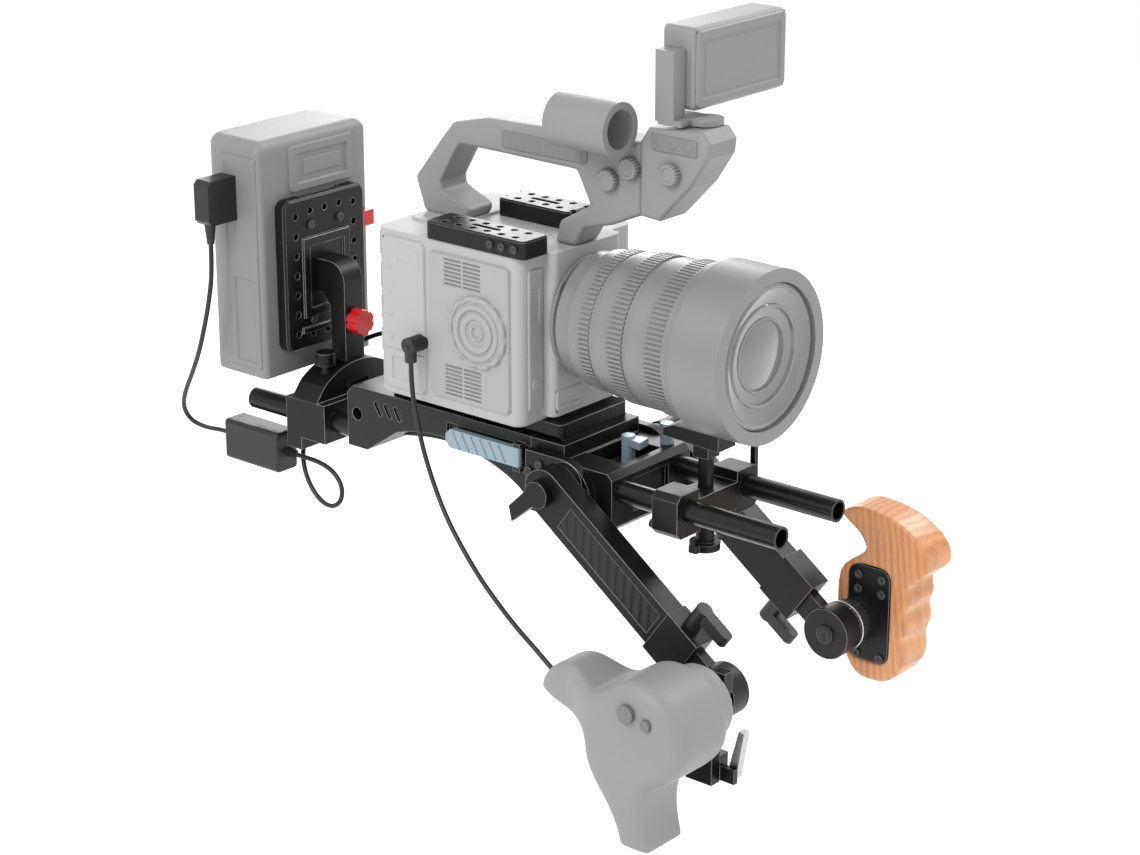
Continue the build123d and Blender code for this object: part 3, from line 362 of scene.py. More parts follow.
def arch(along):
    """The height of the deck's arch at a share of the pad's length: a circle through its two
    feet and its crown."""
    y = pad_low[1] + along * (pad_high[1] - pad_low[1])
    feet = np.array([[0.034, 0.012], [0.090, 0.031], [0.144, 0.025]])
    system = np.column_stack([2 * feet, np.ones(3)])
    centre_y, centre_z, rest = np.linalg.solve(system, (feet ** 2).sum(1))
    radius = math.sqrt(rest + centre_y ** 2 + centre_z ** 2)
    return y, centre_z + np.sqrt(radius ** 2 - (y - centre_y) ** 2)


def pad_surface(rows=90, columns=72):
    """A closed loop round the pad's section, carried along the arch. The section is a
    flattened superellipse, thinned towards both ends, and two grooves press into its sole."""
    u, angle = np.meshgrid(np.linspace(0, 1, rows),
                           np.linspace(0, 2 * np.pi, columns, endpoint=False), indexing="ij")
    y, top = arch(u)
    ends = np.sqrt(np.clip(1 - np.abs(2 * u - 1) ** 6, 0, 1))
    across = np.sign(np.cos(angle)) * np.abs(np.cos(angle)) ** 0.35
    drop = np.sign(np.sin(angle)) * np.abs(np.sin(angle)) ** 0.6
    half = (pad_high[0] - pad_low[0]) / 2 * (0.93 + 0.07 * ends)
    x = across * half
    groove = 0.0011 * (np.exp(-((x - 0.013) / 0.0016) ** 2) + np.exp(-((x + 0.013) / 0.0016) ** 2))
    thick = 0.0029 * ends
    z = top - 0.0030 - thick * drop + groove * (drop > 0.2) * ends
    points = np.stack([x, y, z], -1).reshape(-1, 3)
    index = np.arange(rows * columns).reshape(rows, columns)
    ahead = np.roll(index, -1, axis=1)
    faces = np.stack([index[:-1], ahead[:-1], ahead[1:], index[1:]], -1).reshape(-1, 4)
    return points, [tuple(face) for face in faces] + [tuple(index[0][::-1]), tuple(index[-1])]


shoulder_cushion = piece_from("shoulder_cushion", *pad_surface(), "rig", foam, "pad_rubber")
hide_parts("shoulder_pad")

# ---- Levers and red controls -----------------------------------------------------------
# Cast levers in a pale steel-blue, which is a painted highlight on them: the long side
# release, the front lever and the rod lock. The battery's tilt knob and release button are
# anodised red. Their shapes are in the frame, so they only take the paint.


def satin_paint(name, base, rough):
    """Sprayed satin paint: a faint orange peel, with corners made paler by a painted highlight."""
    coat = Coat(name)
    near, rounded = coat.edge(0.0007)
    peel = coat.noise(900.0, 2.0)
    cloud = coat.noise(30.0, 4.0)
    # Corners blended to 1.4 times the base colour: a painted highlight from the bevel mask.
    colour = coat.blend((near * 3.0).clamped(),
                        coat.blend(cloud, tuple(0.93 * c for c in base[:3]) + (1.0,), base),
                        tuple(min(1.0, 1.4 * c) for c in base[:3]) + (1.0,))
    return coat.skin(colour, rough + (cloud - 0.5) * 0.14, coat.bump(peel, 0.00003, rounded),
                     0.1, coat_weight=0.15, coat_roughness=0.3)


# The levers' pale steel-blue is a painted highlight.
lever_blue = satin_paint("lever_blue", (0.245, 0.330, 0.375, 1.0), 0.36)
paint(lever_blue, "side_lever", "front_lever", "rod_lock_lever")
red_metal = satin_paint("red_metal", (0.52, 0.010, 0.014, 1.0), 0.3)
paint(red_metal, "tilt_knob", "release_button")

# ---- Arms ------------------------------------------------------------------------------
# Two telescopic arms in black aluminium. Each outer sleeve carries a rubber inlay between two
# rails, moulded with slanted ribs so that the arm doesn't slip in the hand. The rails are pale
# grey: a painted highlight along the sleeve's long edges.
paint(black, "right_arm_sleeve", "left_arm_sleeve")
paint(graphite, "right_arm_bar", "left_arm_bar")


def moulded(name, base, rough, grain_scale=1500.0, grain=0.00003, specks=0.06):
    """Moulded plastic: a leathery spark-eroded grain, slow, faint changes of tone, and corners made
    paler by a painted highlight.
    """
    coat = Coat(name)
    near, rounded = coat.edge(0.0006)
    cells = coat.node("ShaderNodeTexVoronoi", {"feature": "SMOOTH_F1"},
                      {"Vector": coat.place, "Scale": grain_scale, "Smoothness": 0.6})
    cloud = coat.noise(22.0, 4.0)
    tone = coat.blend(cloud, tuple((1.0 - specks) * c for c in base[:3]) + (1.0,),
                      tuple(min(1.0, (1.0 + specks) * c) for c in base[:3]) + (1.0,))
    # Corners blended paler: a painted highlight from the bevel mask.
    colour = coat.blend((near * 2.2).clamped(), tone,
                        tuple(min(1.0, 1.35 * c + 0.01) for c in base[:3]) + (1.0,))
    roughness = rough + (cloud - 0.5) * 0.1 + (cells - 0.4) * 0.1
    return coat.skin(colour, roughness, coat.bump(cells, grain, rounded))


def smoothstep(value):
    value = np.clip(value, 0, 1)
    return value * value * (3 - 2 * value)


def rounded_field(rows, columns, width, depth, corner, edge):
    """1 inside a rectangle with round corners and 0 outside, with a soft slope of that width
    at its edge, from the signed distance to the rectangle."""
    u, v = np.meshgrid(np.linspace(-0.5, 0.5, rows) * width,
                       np.linspace(-0.5, 0.5, columns) * depth, indexing="ij")
    outside_u = np.abs(u) - (width / 2 - corner)
    outside_v = np.abs(v) - (depth / 2 - corner)
    distance = np.hypot(np.maximum(outside_u, 0), np.maximum(outside_v, 0)) - corner
    distance = distance + np.minimum(np.maximum(outside_u, outside_v), 0)
    return smoothstep(-distance / edge)


def slab_with_relief(corner, along, across, height):
    """A slab on a flat back. Its back starts at corner and runs along two directions, whose
    lengths are its sizes, and its front stands off the back by height(u, v), for u and v from
    0 to 1. Returns points and faces, with a wall round the rim."""
    along, across = np.array(along), np.array(across)
    outward = np.cross(along, across)
    outward = outward / np.linalg.norm(outward)
    rows, columns = height.shape
    u, v = np.meshgrid(np.linspace(0, 1, rows), np.linspace(0, 1, columns), indexing="ij")
    back = np.array(corner) + u[..., None] * along + v[..., None] * across
    front = back + height[..., None] * outward
    points = np.concatenate([front.reshape(-1, 3), back.reshape(-1, 3)])
    index = np.arange(rows * columns).reshape(rows, columns)
    cells = np.stack([index[:-1, :-1], index[1:, :-1], index[1:, 1:], index[:-1, 1:]], -1)
    cells = cells.reshape(-1, 4)
    rim = np.concatenate([index[:, 0], index[-1, 1:], index[-2::-1, -1], index[0, -2:0:-1]])
    ahead = np.roll(rim, -1)
    shift = rows * columns
    wall = np.stack([rim, ahead, ahead + shift, rim + shift], -1)
    return points, np.concatenate([cells, (cells + shift)[:, ::-1], wall])


clamp_plastic = moulded("lever_plastic", grey(0.008), 0.44)
paint(clamp_plastic, "right_clamp_lever", "left_clamp_lever")
rib_rubber = moulded("rib_rubber", grey(0.005), 0.6, 2200.0, 0.00004)
arm_down = np.array(joints["right_arm_extend"]["axis"])
arm_up = np.array([0.0, arm_down[2], -arm_down[1]])


def arm_face(hand, side):
    """The place along X of the sleeve's outer wall, which is sunk below its two ends."""
    low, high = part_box(hand + "_arm_sleeve")
    return side * (max(abs(low[0]), abs(high[0])) - 0.003)


def arm_inlay(hand, side):
    """A ribbed strip: its height is a wave that leans across the strip, under a frame."""
    pivot = np.array(joints[hand + "_arm_tilt"]["pos_m"])
    face = arm_face(hand, side)
    start, length, width, rib_pitch = 0.0221, 0.0888, 0.0178, 0.0082
    rows, columns = 240, 26
    u, v = np.meshgrid(np.linspace(0, 1, rows), np.linspace(0, 1, columns), indexing="ij")
    slant = (u * length + 0.62 * (v - 0.5) * width) / rib_pitch
    ribs = smoothstep(2.2 * np.cos(2 * np.pi * slant) + 0.6)
    inside = rounded_field(rows, columns, length - 0.003, width - 0.003, 0.001, 0.0006)
    height = 0.0009 - 0.00065 * inside * (1 - ribs)
    corner = pivot + arm_down * start - arm_up * width / 2 * side * -1
    corner[0] = face
    across = arm_up * width * side * -1
    points, faces = slab_with_relief(corner, arm_down * length, across, height)
    piece_from(hand + "_arm_inlay", points, faces, hand + "_arm", rib_rubber, "anodised_black")


# Pale grey with paler corners: a painted highlight along the sleeve's long edges.
rail_highlight_finish = anodised("pale_rail_painted_highlight", grey(0.16), grey(0.60), 0.3)


def arm_rail(hand, side, edge, name):
    """A narrow rail along one long edge of the sleeve, notched crosswise by a square wave, and
    pale: a painted highlight along that edge."""
    pivot = np.array(joints[hand + "_arm_tilt"]["pos_m"])
    face = arm_face(hand, side)
    start, length, width, notch_pitch = 0.0180, 0.0950, 0.0018, 0.0035
    u, v = np.meshgrid(np.linspace(0, 1, 320), np.linspace(0, 1, 6), indexing="ij")
    notch = smoothstep(2.0 * np.cos(2 * np.pi * u * length / notch_pitch) + 1.2)
    height = 0.0004 + 0.0003 * notch
    across = arm_up * width * side * -1
    corner = pivot + arm_down * start + arm_up * edge - across / 2
    corner[0] = face
    points, faces = slab_with_relief(corner, arm_down * length, across, height)
    piece_from(hand + name, points, faces, hand + "_arm", rail_highlight_finish, "anodised_black")


rail_edge = 0.0124
for hand, side in (("right", -1), ("left", 1)):
    arm_inlay(hand, side)
    arm_rail(hand, side, rail_edge, "_arm_upper_rail")
    arm_rail(hand, side, -rail_edge, "_arm_lower_rail")

# ---- Rosettes --------------------------------------------------------------------------
# Toothed steel discs join the arms to the hands, turned and left bright. A polished lever
# of the same steel frees the right hand.
steel_coat = Coat("turned_steel")
steel_lines = steel_coat.noise(1.0, 2.0, steel_coat.stretched((6000.0, 300.0, 300.0)))
steel_round = steel_coat.edge(0.0003)[1]
steel = steel_coat.skin(
    steel_coat.blend(steel_lines, grey(0.30), grey(0.62)), 0.22 + steel_lines * 0.2,
    steel_coat.bump(steel_lines, 0.00001, steel_round), 1.0,
)
paint(steel, "left_rosette", "quick_lever")

# ---- Hand grip -------------------------------------------------------------------------
# The camera's own grip, moulded in grey: thick at the head, with a slim rear horn and a
# waist that the palm fills. It has a round button, a dial and a ridged collar.


def softened(name, node, voxel, passes, reshape, body, material):
    """A copy of a part with its hard corners worn round: merged, rebuilt from small cells,
    smoothed, and then moved point by point by reshape(points)."""
    shell = bmesh.new()
    shell.from_mesh(nodes[node].data)
    bmesh.ops.remove_doubles(shell, verts=shell.verts, dist=1e-6)
    mesh = bpy.data.meshes.new(name + "_rough")
    shell.to_mesh(mesh)
    shell.free()
    rough = bpy.data.objects.new(name + "_rough", mesh)
    bpy.context.collection.objects.link(rough)
    cells = rough.modifiers.new("cells", "REMESH")
    cells.mode = "VOXEL"
    cells.voxel_size = voxel
    smoothing = rough.modifiers.new("smoothing", "SMOOTH")
    smoothing.factor = 0.5
    smoothing.iterations = passes
    depsgraph = bpy.context.evaluated_depsgraph_get()
    made = bpy.data.meshes.new_from_object(rough.evaluated_get(depsgraph))
    bpy.data.objects.remove(rough)
    points = np.empty(len(made.vertices) * 3)
    made.vertices.foreach_get("co", points)
    made.vertices.foreach_set("co", reshape(points.reshape(-1, 3)).ravel())
    made.polygons.foreach_set("use_smooth", [True] * len(made.polygons))
    made.update()
    made.materials.clear()
    made.materials.append(material)
    piece = bpy.data.objects.new(name, made)
    bpy.context.collection.objects.link(piece)
    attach(piece, body)
    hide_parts(node)
    return piece


grip_grey = moulded("grip_grey", grey(0.235), 0.5, 900.0, 0.00005)
grip_low, grip_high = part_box("right_grip")


def grip_shape(points):
    """Narrows the grip across its width: much on the horn, some on the palm, none at the
    head where it is bolted on."""
    x, y, z = points.T
    palm_width = 0.050
    outer, inner = grip_low[0], grip_low[0] + palm_width
    centre = (outer + inner) / 2
    horn = smoothstep((y + 0.108) / 0.030) * smoothstep((z + 0.100) / 0.03)
    palm = smoothstep((-0.088 - z) / 0.030)
    share = 1 - 0.38 * horn - 0.16 * palm
    body = x < inner + 0.0005
    points[:, 0] = np.where(body, centre + (x - centre) * share, x)
    return points


softened("hand_grip_shell", "right_grip", 0.0013, 26, grip_shape, "right_hand", grip_grey)


def turned(centre, axis, start, profile, sides=96, ripple=None):
    """A profile of (radius, distance along the axis) turned round the axis. start is the
    direction of angle 0. ripple(angle) times a profile point's third value is added to its
    radius, which cuts teeth or flutes."""
    axis = np.array(axis) / np.linalg.norm(axis)
    start = np.array(start) / np.linalg.norm(start)
    side = np.cross(axis, start)
    shape = np.array([tuple(point) + (0.0,) * (3 - len(point)) for point in profile])
    angle = np.linspace(0, 2 * np.pi, sides, endpoint=False)
    wave = ripple(angle) if ripple else np.zeros(sides)
    radius = shape[:, None, 0] + shape[:, None, 2] * wave[None, :]
    points = (np.array(centre) + shape[:, None, 1, None] * axis
              + radius[..., None] * (np.cos(angle)[None, :, None] * start
                                     + np.sin(angle)[None, :, None] * side))
    rows = len(shape)
    index = np.arange(rows * sides).reshape(rows, sides)
    ahead = np.roll(index, -1, axis=1)
    faces = np.stack([index[:-1], ahead[:-1], ahead[1:], index[1:]], -1).reshape(-1, 4)
    return points.reshape(-1, 3), [tuple(face) for face in faces] + [
        tuple(index[0][::-1]), tuple(index[-1])]


control_grey = moulded("control_grey", grey(0.15), 0.4)
paint(control_grey, "grip_dial")
button_low, button_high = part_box("grip_button")
button_profile = ((0.0036, 0.0), (0.0036, 0.0016), (0.0033, 0.0021), (0.0022, 0.0019),
                  (0.0003, 0.0017))
record_button = piece_from(
    "record_button",
    *turned((button_low[0] + 0.0021, (button_low[1] + button_high[1]) / 2,
             (button_low[2] + button_high[2]) / 2), (-1, 0, 0), (0, 1, 0), button_profile, 48),
    "hand_button", control_grey, "lens_grey")
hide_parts("grip_button")
grip_hub = joints["right_grip_tilt"]["pos_m"]
collar_ring = ((0.0200, 0.0, 0.0), (0.0216, 0.0003, 0.0004), (0.0216, 0.0042, 0.0004),
               (0.0206, 0.0048, 0.0), (0.0186, 0.0050))
piece_from("grip_collar",
           *turned((grip_high[0] - 0.0058, grip_hub[1], grip_hub[2]), (1, 0, 0), (0, 1, 0),
                   collar_ring, 240, lambda angle: np.cos(60 * angle)),
           "right_hand", control_grey, "mid_grey")

# ---- Wooden handle ---------------------------------------------------------------------
# Oiled hardwood, cut from one block with its grain upright: wavy growth lines, fine pores
# along the grain, a hooked top, and a black metal core held by six cap screws.
wood_coat = Coat("oiled_hardwood")
drift = wood_coat.noise(14.0, 3.0)
wood_place = wood_coat.stretched((1.0, 1.0, 0.16), (math.radians(8.0), 0.0, 0.0))
warped = wood_coat.node("ShaderNodeVectorMath", {"operation": "MULTIPLY_ADD"}, {
    0: wood_coat.node("ShaderNodeTexNoise", {}, {"Vector": wood_place, "Scale": 55.0}, "Color"),
    1: (0.006, 0.006, 0.006), 2: wood_place,
})
growth = wood_coat.node("ShaderNodeTexWave", {"wave_type": "BANDS", "bands_direction": "Y"}, {
    "Vector": warped, "Scale": 62.0, "Distortion": 1.6, "Detail": 3.0, "Detail Scale": 2.0,
}, "Fac")
pores = wood_coat.noise(1.0, 3.0, wood_coat.stretched((2400.0, 2400.0, 120.0)))
pore_mask = ((pores - 0.58) * 6.0).clamped()
streak = wood_coat.noise(1.0, 4.0, wood_coat.stretched((420.0, 420.0, 16.0)))
plain = wood_coat.blend(growth, (0.62, 0.275, 0.105, 1.0), (0.40, 0.145, 0.045, 1.0))
streaked = wood_coat.blend((streak - 0.3) * 1.4, plain, (0.70, 0.36, 0.165, 1.0))
tinted = wood_coat.blend(drift * 0.5, streaked, (0.52, 0.21, 0.075, 1.0))
wood = wood_coat.skin(
    wood_coat.blend(pore_mask * 0.6, tinted, (0.17, 0.055, 0.016, 1.0)),
    0.36 + pore_mask * 0.2 + (growth - 0.5) * 0.08,
    wood_coat.bump(growth * 0.15 - pore_mask, 0.00008), 0.0, coat_weight=0.2, coat_roughness=0.25,
)
wood_low, wood_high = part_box("wood_handle")
core_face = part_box("handle_core")[0][0]


def handle_shape(points):
    """Rounds the handle's outer side, narrows the neck behind the hook, and draws out a beak
    above the neck. The window round the core stays as it is."""
    x, y, z = points.T
    depth = wood_high[0] - wood_low[0]
    out = (x - wood_low[0]) / depth
    swell = 0.90 + 0.10 * np.cos((z + 0.06) / 0.030) - 0.07 * smoothstep((-0.086 - z) / 0.03)
    points[:, 0] = wood_low[0] + (x - wood_low[0]) * (
        1 - (1 - swell) * smoothstep((out - 0.15) / 0.6))
    rear = smoothstep((y + 0.168) / 0.020)
    neck = np.exp(-((z + 0.019) / 0.010) ** 2)
    beak = np.exp(-((z - 0.001) / 0.007) ** 2)
    points[:, 1] = y + rear * (0.0065 * beak - 0.0080 * neck)
    return points


softened("hardwood_handle", "wood_handle", 0.0011, 24, handle_shape, "left_hand", wood)


def socket_screw(centre, outward, start, radius, height):
    """A cap screw's head: a chamfered disc with a six-sided socket. The socket is the inner
    ring of the profile, whose radius follows a hexagon round the angle."""
    def hexagon(angle):
        turn = np.mod(angle, np.pi / 3) - np.pi / 6
        return math.cos(math.pi / 6) / np.cos(turn) - 1.0
    hole = 0.52 * radius
    profile = ((radius, 0.0), (radius, height * 0.8), (radius * 0.9, height),
               (hole * 1.08, height, hole * 1.08), (hole, height * 0.92, hole),
               (hole, height * 0.35, hole), (hole * 0.3, height * 0.25))
    return turned(centre, outward, start, profile, 36, hexagon)


# Its second grey is the painted highlight on the screw heads' corners.
screw_black = anodised("screw_black_oxide", grey(0.028), grey(0.22), 0.3)


def screws(name, body, outward, start, radius, height, places):
    """A group of cap screws on one body, joined as one piece."""
    all_points, all_faces = [], []
    for place in places:
        points, faces = socket_screw(place, outward, start, radius, height)
        shift = len(all_points)
        all_points.extend(points.tolist())
        all_faces.extend(tuple(int(i) + shift for i in face) for face in faces)
    return piece_from(name, all_points, all_faces, body, screw_black, "screw_black")


core_screws = [(core_face + 0.0003, y, z) for z in (-0.036, -0.046, -0.091)
               for y in (-0.171, -0.153)]
screws("handle_core_screws", "left_hand", (-1, 0, 0), (0, 1, 0), 0.0030, 0.0016, core_screws)

# ---- Camera body -----------------------------------------------------------------------
# The camera's body is a moulded shell in pale grey with a fine grain. The lens, the handle
# and the battery are darker greys: satin paint on the lens, grained plastic on the rest.
body_grey = moulded("camera_pale_grey", grey(0.36), 0.55, 1100.0, 0.00004, 0.03)
panel_grey = moulded("panel_grey", grey(0.31), 0.5, 1300.0, 0.00004)
lens_grey = satin_paint("lens_grey", grey(0.205), 0.4)
handle_grey = moulded("handle_grey", grey(0.215), 0.48, 1000.0, 0.00004)
battery_grey = moulded("battery_grey", grey(0.20), 0.5, 1000.0, 0.00004)
paint(body_grey, "camera_body")
paint(panel_grey, "vent_panel", "side_cap")
paint(lens_grey, "lens_barrel", "iris_ring", "zoom_ring", "focus_ring", "front_glass")
paint(handle_grey, "top_handle", "mic_holder", "handle_head", "monitor_swivel", "monitor")
paint(battery_grey, "battery")

# ---- Round side cover ------------------------------------------------------------------
# A moulded cover over the grip's rosette on the camera's side, pressed on. Its rim has
# twelve bites for the fingers, and rings are sunk in its face.
cap_low, cap_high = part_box("side_cap")
cap_middle = [cap_high[0], (cap_low[1] + cap_high[1]) / 2, (cap_low[2] + cap_high[2]) / 2]


def cap_notches(angle):
    """Twelve round bites in the cap's rim."""
    return -smoothstep((np.cos(12 * angle) - 0.1) / 0.8)


cap_profile = (
    (0.0240, 0.0, 0.0), (0.0240, 0.0022, 0.0016), (0.0230, 0.0030, 0.0016),
    (0.0212, 0.0030, 0.0008), (0.0206, 0.0020), (0.0190, 0.0020), (0.0184, 0.0030),
    (0.0156, 0.0030), (0.0150, 0.0015), (0.0136, 0.0015), (0.0130, 0.0026), (0.0092, 0.0026),
    (0.0086, 0.0014), (0.0058, 0.0012), (0.0052, 0.0022), (0.0040, 0.0022), (0.0036, 0.0010),
    (0.0004, 0.0010),
)
side_cover = piece_from("grip_rosette_cover",
                        *turned(cap_middle, (-1, 0, 0), (0, 1, 0), cap_profile, 144, cap_notches),
                        "rig", panel_grey, "mid_grey")
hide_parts("side_cap")

# ---- Front glass -----------------------------------------------------------------------
# The coated front element of the lens, domed in the middle, with stepped rings round it that
# hold it in the barrel.
glass_coat = Coat("front_element")
glass_bloom = glass_coat.noise(60.0, 2.0)
glass_skin = glass_coat.skin(glass_coat.blend(glass_bloom, grey(0.15), grey(0.19)),
                             0.14 + glass_bloom * 0.05, None, 0.0, coat_weight=0.8,
                             coat_roughness=0.05)
glass_low, glass_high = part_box("front_glass")
lens_axis_z = (glass_low[2] + glass_high[2]) / 2
front_profile = (
    (0.0466, 0.0), (0.0466, 0.0092), (0.0455, 0.0098), (0.0432, 0.0096), (0.0418, 0.0082),
    (0.0330, 0.0066), (0.0322, 0.0074), (0.0312, 0.0074), (0.0304, 0.0056), (0.0240, 0.0046),
    (0.0236, 0.0052), (0.0228, 0.0052), (0.0222, 0.0038), (0.0180, 0.0049), (0.0120, 0.0061),
    (0.0060, 0.0068), (0.0006, 0.0070),
)
front_element = piece_from("front_element",
                           *turned((0.0, glass_high[1], lens_axis_z), (0, -1, 0), (0, 0, 1),
                                   front_profile, 144),
                           "rig", glass_skin, "lens_glass")
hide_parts("front_glass")

# ---- Mount collar ----------------------------------------------------------------------
# A turned ring between the camera's nose and the lens, painted as the lens is, with three
# low lugs that turn it to lock the lens.
collar_profile = (
    (0.0385, 0.0, 0.0), (0.0392, 0.0006, 0.0), (0.0392, 0.0030, 0.0012), (0.0386, 0.0036, 0.0012),
    (0.0370, 0.0040), (0.0352, 0.0050), (0.0345, 0.0070), (0.0300, 0.0072),
)


def lock_lugs(angle):
    """Three low lugs round the collar."""
    return smoothstep((np.cos(3 * (angle - 0.9)) - 0.93) / 0.05)


nose_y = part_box("camera_body")[0][1]
piece_from("mount_collar",
           *turned((0.0, nose_y, lens_axis_z), (0, -1, 0), (0, 0, 1), collar_profile, 180,
                   lock_lugs),
           "rig", lens_grey, "lens_grey")

# ---- Camera covers ---------------------------------------------------------------------
# The cooling panel, the side door, the front bezel and the roof cover are thin mouldings
# clipped on the body, with vents, a finger well, a row of buttons and a seam in them.


def raised_panel(name, body, corner, along, across, thickness, radius, material, slot,
                 relief=None, cells=(56, 56)):
    """A thin cover on a flat face: a rectangle with round corners and a soft edge. relief(u, v)
    is added to its height. It and u and v, the distances along the two sides, are in metres."""
    length, width = np.linalg.norm(along), np.linalg.norm(across)
    inside = rounded_field(*cells, length, width, radius, 0.0009)
    height = thickness * inside
    if relief:
        u, v = np.meshgrid(np.linspace(0, 1, cells[0]), np.linspace(0, 1, cells[1]),
                           indexing="ij")
        height = height + relief(u * length, v * width) * inside
    points, faces = slab_with_relief(corner, along, across, height)
    return piece_from(name, points, faces, body, material, slot)


def well(u, v, u0, u1, v0, v1, soft=0.0006):
    """1 inside a rectangle from (u0, v0) to (u1, v1), and 0 outside it."""
    return (smoothstep((u - u0) / soft) * smoothstep((u1 - u) / soft)
            * smoothstep((v - v0) / soft) * smoothstep((v1 - v) / soft))


def knob_bump(u, v, u0, v0, radius, soft=0.0007):
    """1 inside a circle about (u0, v0), and 0 outside it."""
    return smoothstep((radius - np.hypot(u - u0, v - v0)) / soft)


body_low, body_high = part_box("camera_body")
panel_lift = 0.00005
body_side = body_low[0] + panel_lift


def door_relief(u, v):
    """A finger well low on the door, four buttons up its rear edge, and a seam across it."""
    buttons = sum(knob_bump(u, v, place, 0.031, 0.0030) for place in (0.036, 0.052, 0.068, 0.084))
    return (0.0007 * buttons - 0.0009 * well(u, v, 0.006, 0.022, 0.006, 0.030)
            - 0.0007 * well(u, v, 0.0265, 0.0275, 0.0, 1.0, 0.0003)
            + 0.0006 * well(u, v, 0.088, 0.098, 0.005, 0.024))


panel_low, panel_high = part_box("vent_panel")


def vents(u, v):
    """Rows of long slots above and below the round cover, in columns, sunk in the panel."""
    slot_pitch, slot_height, slot_length, slot_depth = 0.0027, 0.0016, 0.0148, 0.0016
    slots = 0.0
    for first, last in ((0.0035, 0.0225), (0.0775, 0.0945)):
        for row in np.arange(first, last, slot_pitch):
            for column in (0.0240, 0.0405):
                slots = slots + well(u, v, row, row + slot_height, column, column + slot_length,
                                     0.0004)
    return -slot_depth * slots


cooling_panel = raised_panel("cooling_panel", "rig", (body_side, panel_low[1], panel_low[2]),
                             (0, 0, panel_high[2] - panel_low[2]),
                             (0, panel_high[1] - panel_low[1], 0), 0.0020, 0.005, panel_grey,
                             "mid_grey", vents, (330, 150))
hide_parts("vent_panel")
raised_panel("side_door", "rig", (body_side, 0.0970, 0.0665), (0, 0, 0.1035), (0, 0.0375, 0),
             0.0016, 0.005, body_grey, "pale_grey", door_relief, (150, 70))
raised_panel("front_bezel", "rig", (body_low[0] + 0.0080, 0.0171, 0.0700), (0.0140, 0, 0),
             (0, 0, 0.0950), 0.0014, 0.003, panel_grey, "mid_grey",
             lambda u, v: 0.0008 * knob_bump(u, v, 0.0070, 0.018, 0.0042)
             - 0.0008 * well(u, v, 0.0035, 0.0105, 0.060, 0.082), (40, 120))
raised_panel("roof_cover", "rig", (-0.030, 0.1000, body_high[2] - panel_lift), (0.060, 0, 0),
             (0, 0.036, 0), 0.0015, 0.004, body_grey, "pale_grey",
             lambda u, v: -0.0008 * well(u, v, 0.006, 0.054, 0.028, 0.0292, 0.0003), (60, 40))
raised_panel("nose_label_plate", "rig", (-0.0320, nose_y + 0.0001, 0.0680), (0.0260, 0, 0),
             (0, 0, 0.0150), 0.0010, 0.003, body_grey, "pale_grey",
             lambda u, v: -0.0006 * well(u, v, 0.004, 0.022, 0.004, 0.0052, 0.0003), (50, 36))

# ---- Top handle ------------------------------------------------------------------------
# A moulded handle with slim legs and round corners, bolted over the camera. It has a soft
# pad on its side, and knurled thumb screws for the microphone's clamp and the head.


def handle_leg_shape(points):
    """Slims the rear leg: its inner side moves back towards the leg's rear edge, whose place
    is a broken line of height."""
    x, y, z = points.T
    rear = np.interp(z, (0.175, 0.198, 0.239, 0.246), (0.139, 0.146, 0.113, 0.084))
    share = (0.52 * smoothstep((z - 0.181) / 0.012) * smoothstep((0.240 - z) / 0.014)
             * smoothstep((y - 0.068) / 0.020))
    points[:, 1] = y + share * np.maximum(rear - y, 0.0)
    return points


softened("carrying_handle", "top_handle", 0.0014, 6, handle_leg_shape, "rig", handle_grey)
handle_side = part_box("top_handle")[0][0] + panel_lift
pad_grey = moulded("handle_pad_grey", grey(0.17), 0.6, 1800.0, 0.00005)
raised_panel("handle_side_pad", "rig", (handle_side, -0.0020, 0.2290), (0, -0.0006, 0.0120),
             (0, 0.0720, 0.0), 0.0011, 0.004, pad_grey, "mid_grey",
             lambda u, v: 0.0003 * np.cos(v * 2 * np.pi / 0.006), (30, 220))
thumb_profile = ((0.0070, 0.0, 0.0006), (0.0070, 0.0040, 0.0006), (0.0064, 0.0048, 0.0004),
                 (0.0046, 0.0050), (0.0042, 0.0043), (0.0005, 0.0042))
for index, (y, z) in enumerate(((-0.0200, 0.2230), (-0.0370, 0.2330), (-0.0700, 0.2350))):
    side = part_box("handle_head" if y < -0.045 else "top_handle")[0][0]
    piece_from("handle_thumb_screw_" + str(index),
               *turned((side, y, z), (-1, 0, 0), (0, 1, 0), thumb_profile, 120,
                       lambda angle: np.cos(20 * angle)), "rig", handle_grey, "mid_grey")
head_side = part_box("handle_head")[0][0] + panel_lift
raised_panel("head_side_cover", "rig", (head_side, -0.0900, 0.2475), (0, 0.0, 0.0110),
             (0, 0.0360, 0), 0.0010, 0.002, pad_grey, "mid_grey",
             lambda u, v: 0.0006 * sum(knob_bump(u, v, 0.0055, place, 0.0026)
                                       for place in (0.007, 0.018, 0.029)), (36, 90))

# ---- Monitor ---------------------------------------------------------------------------
# A small folding screen: a moulded back with a raised rim, and a dark glass panel set in the
# other face. Both turn and tilt with the monitor.
screen_low, screen_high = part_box("monitor")


def monitor_back(u, v):
    """A raised rim round a sunk panel, with a narrow step inside it."""
    rim = 1 - well(u, v, 0.0050, 0.0850, 0.0050, 0.0430, 0.0012)
    step = well(u, v, 0.0080, 0.0820, 0.0080, 0.0400, 0.0010)
    return 0.0011 * rim + 0.0005 * step


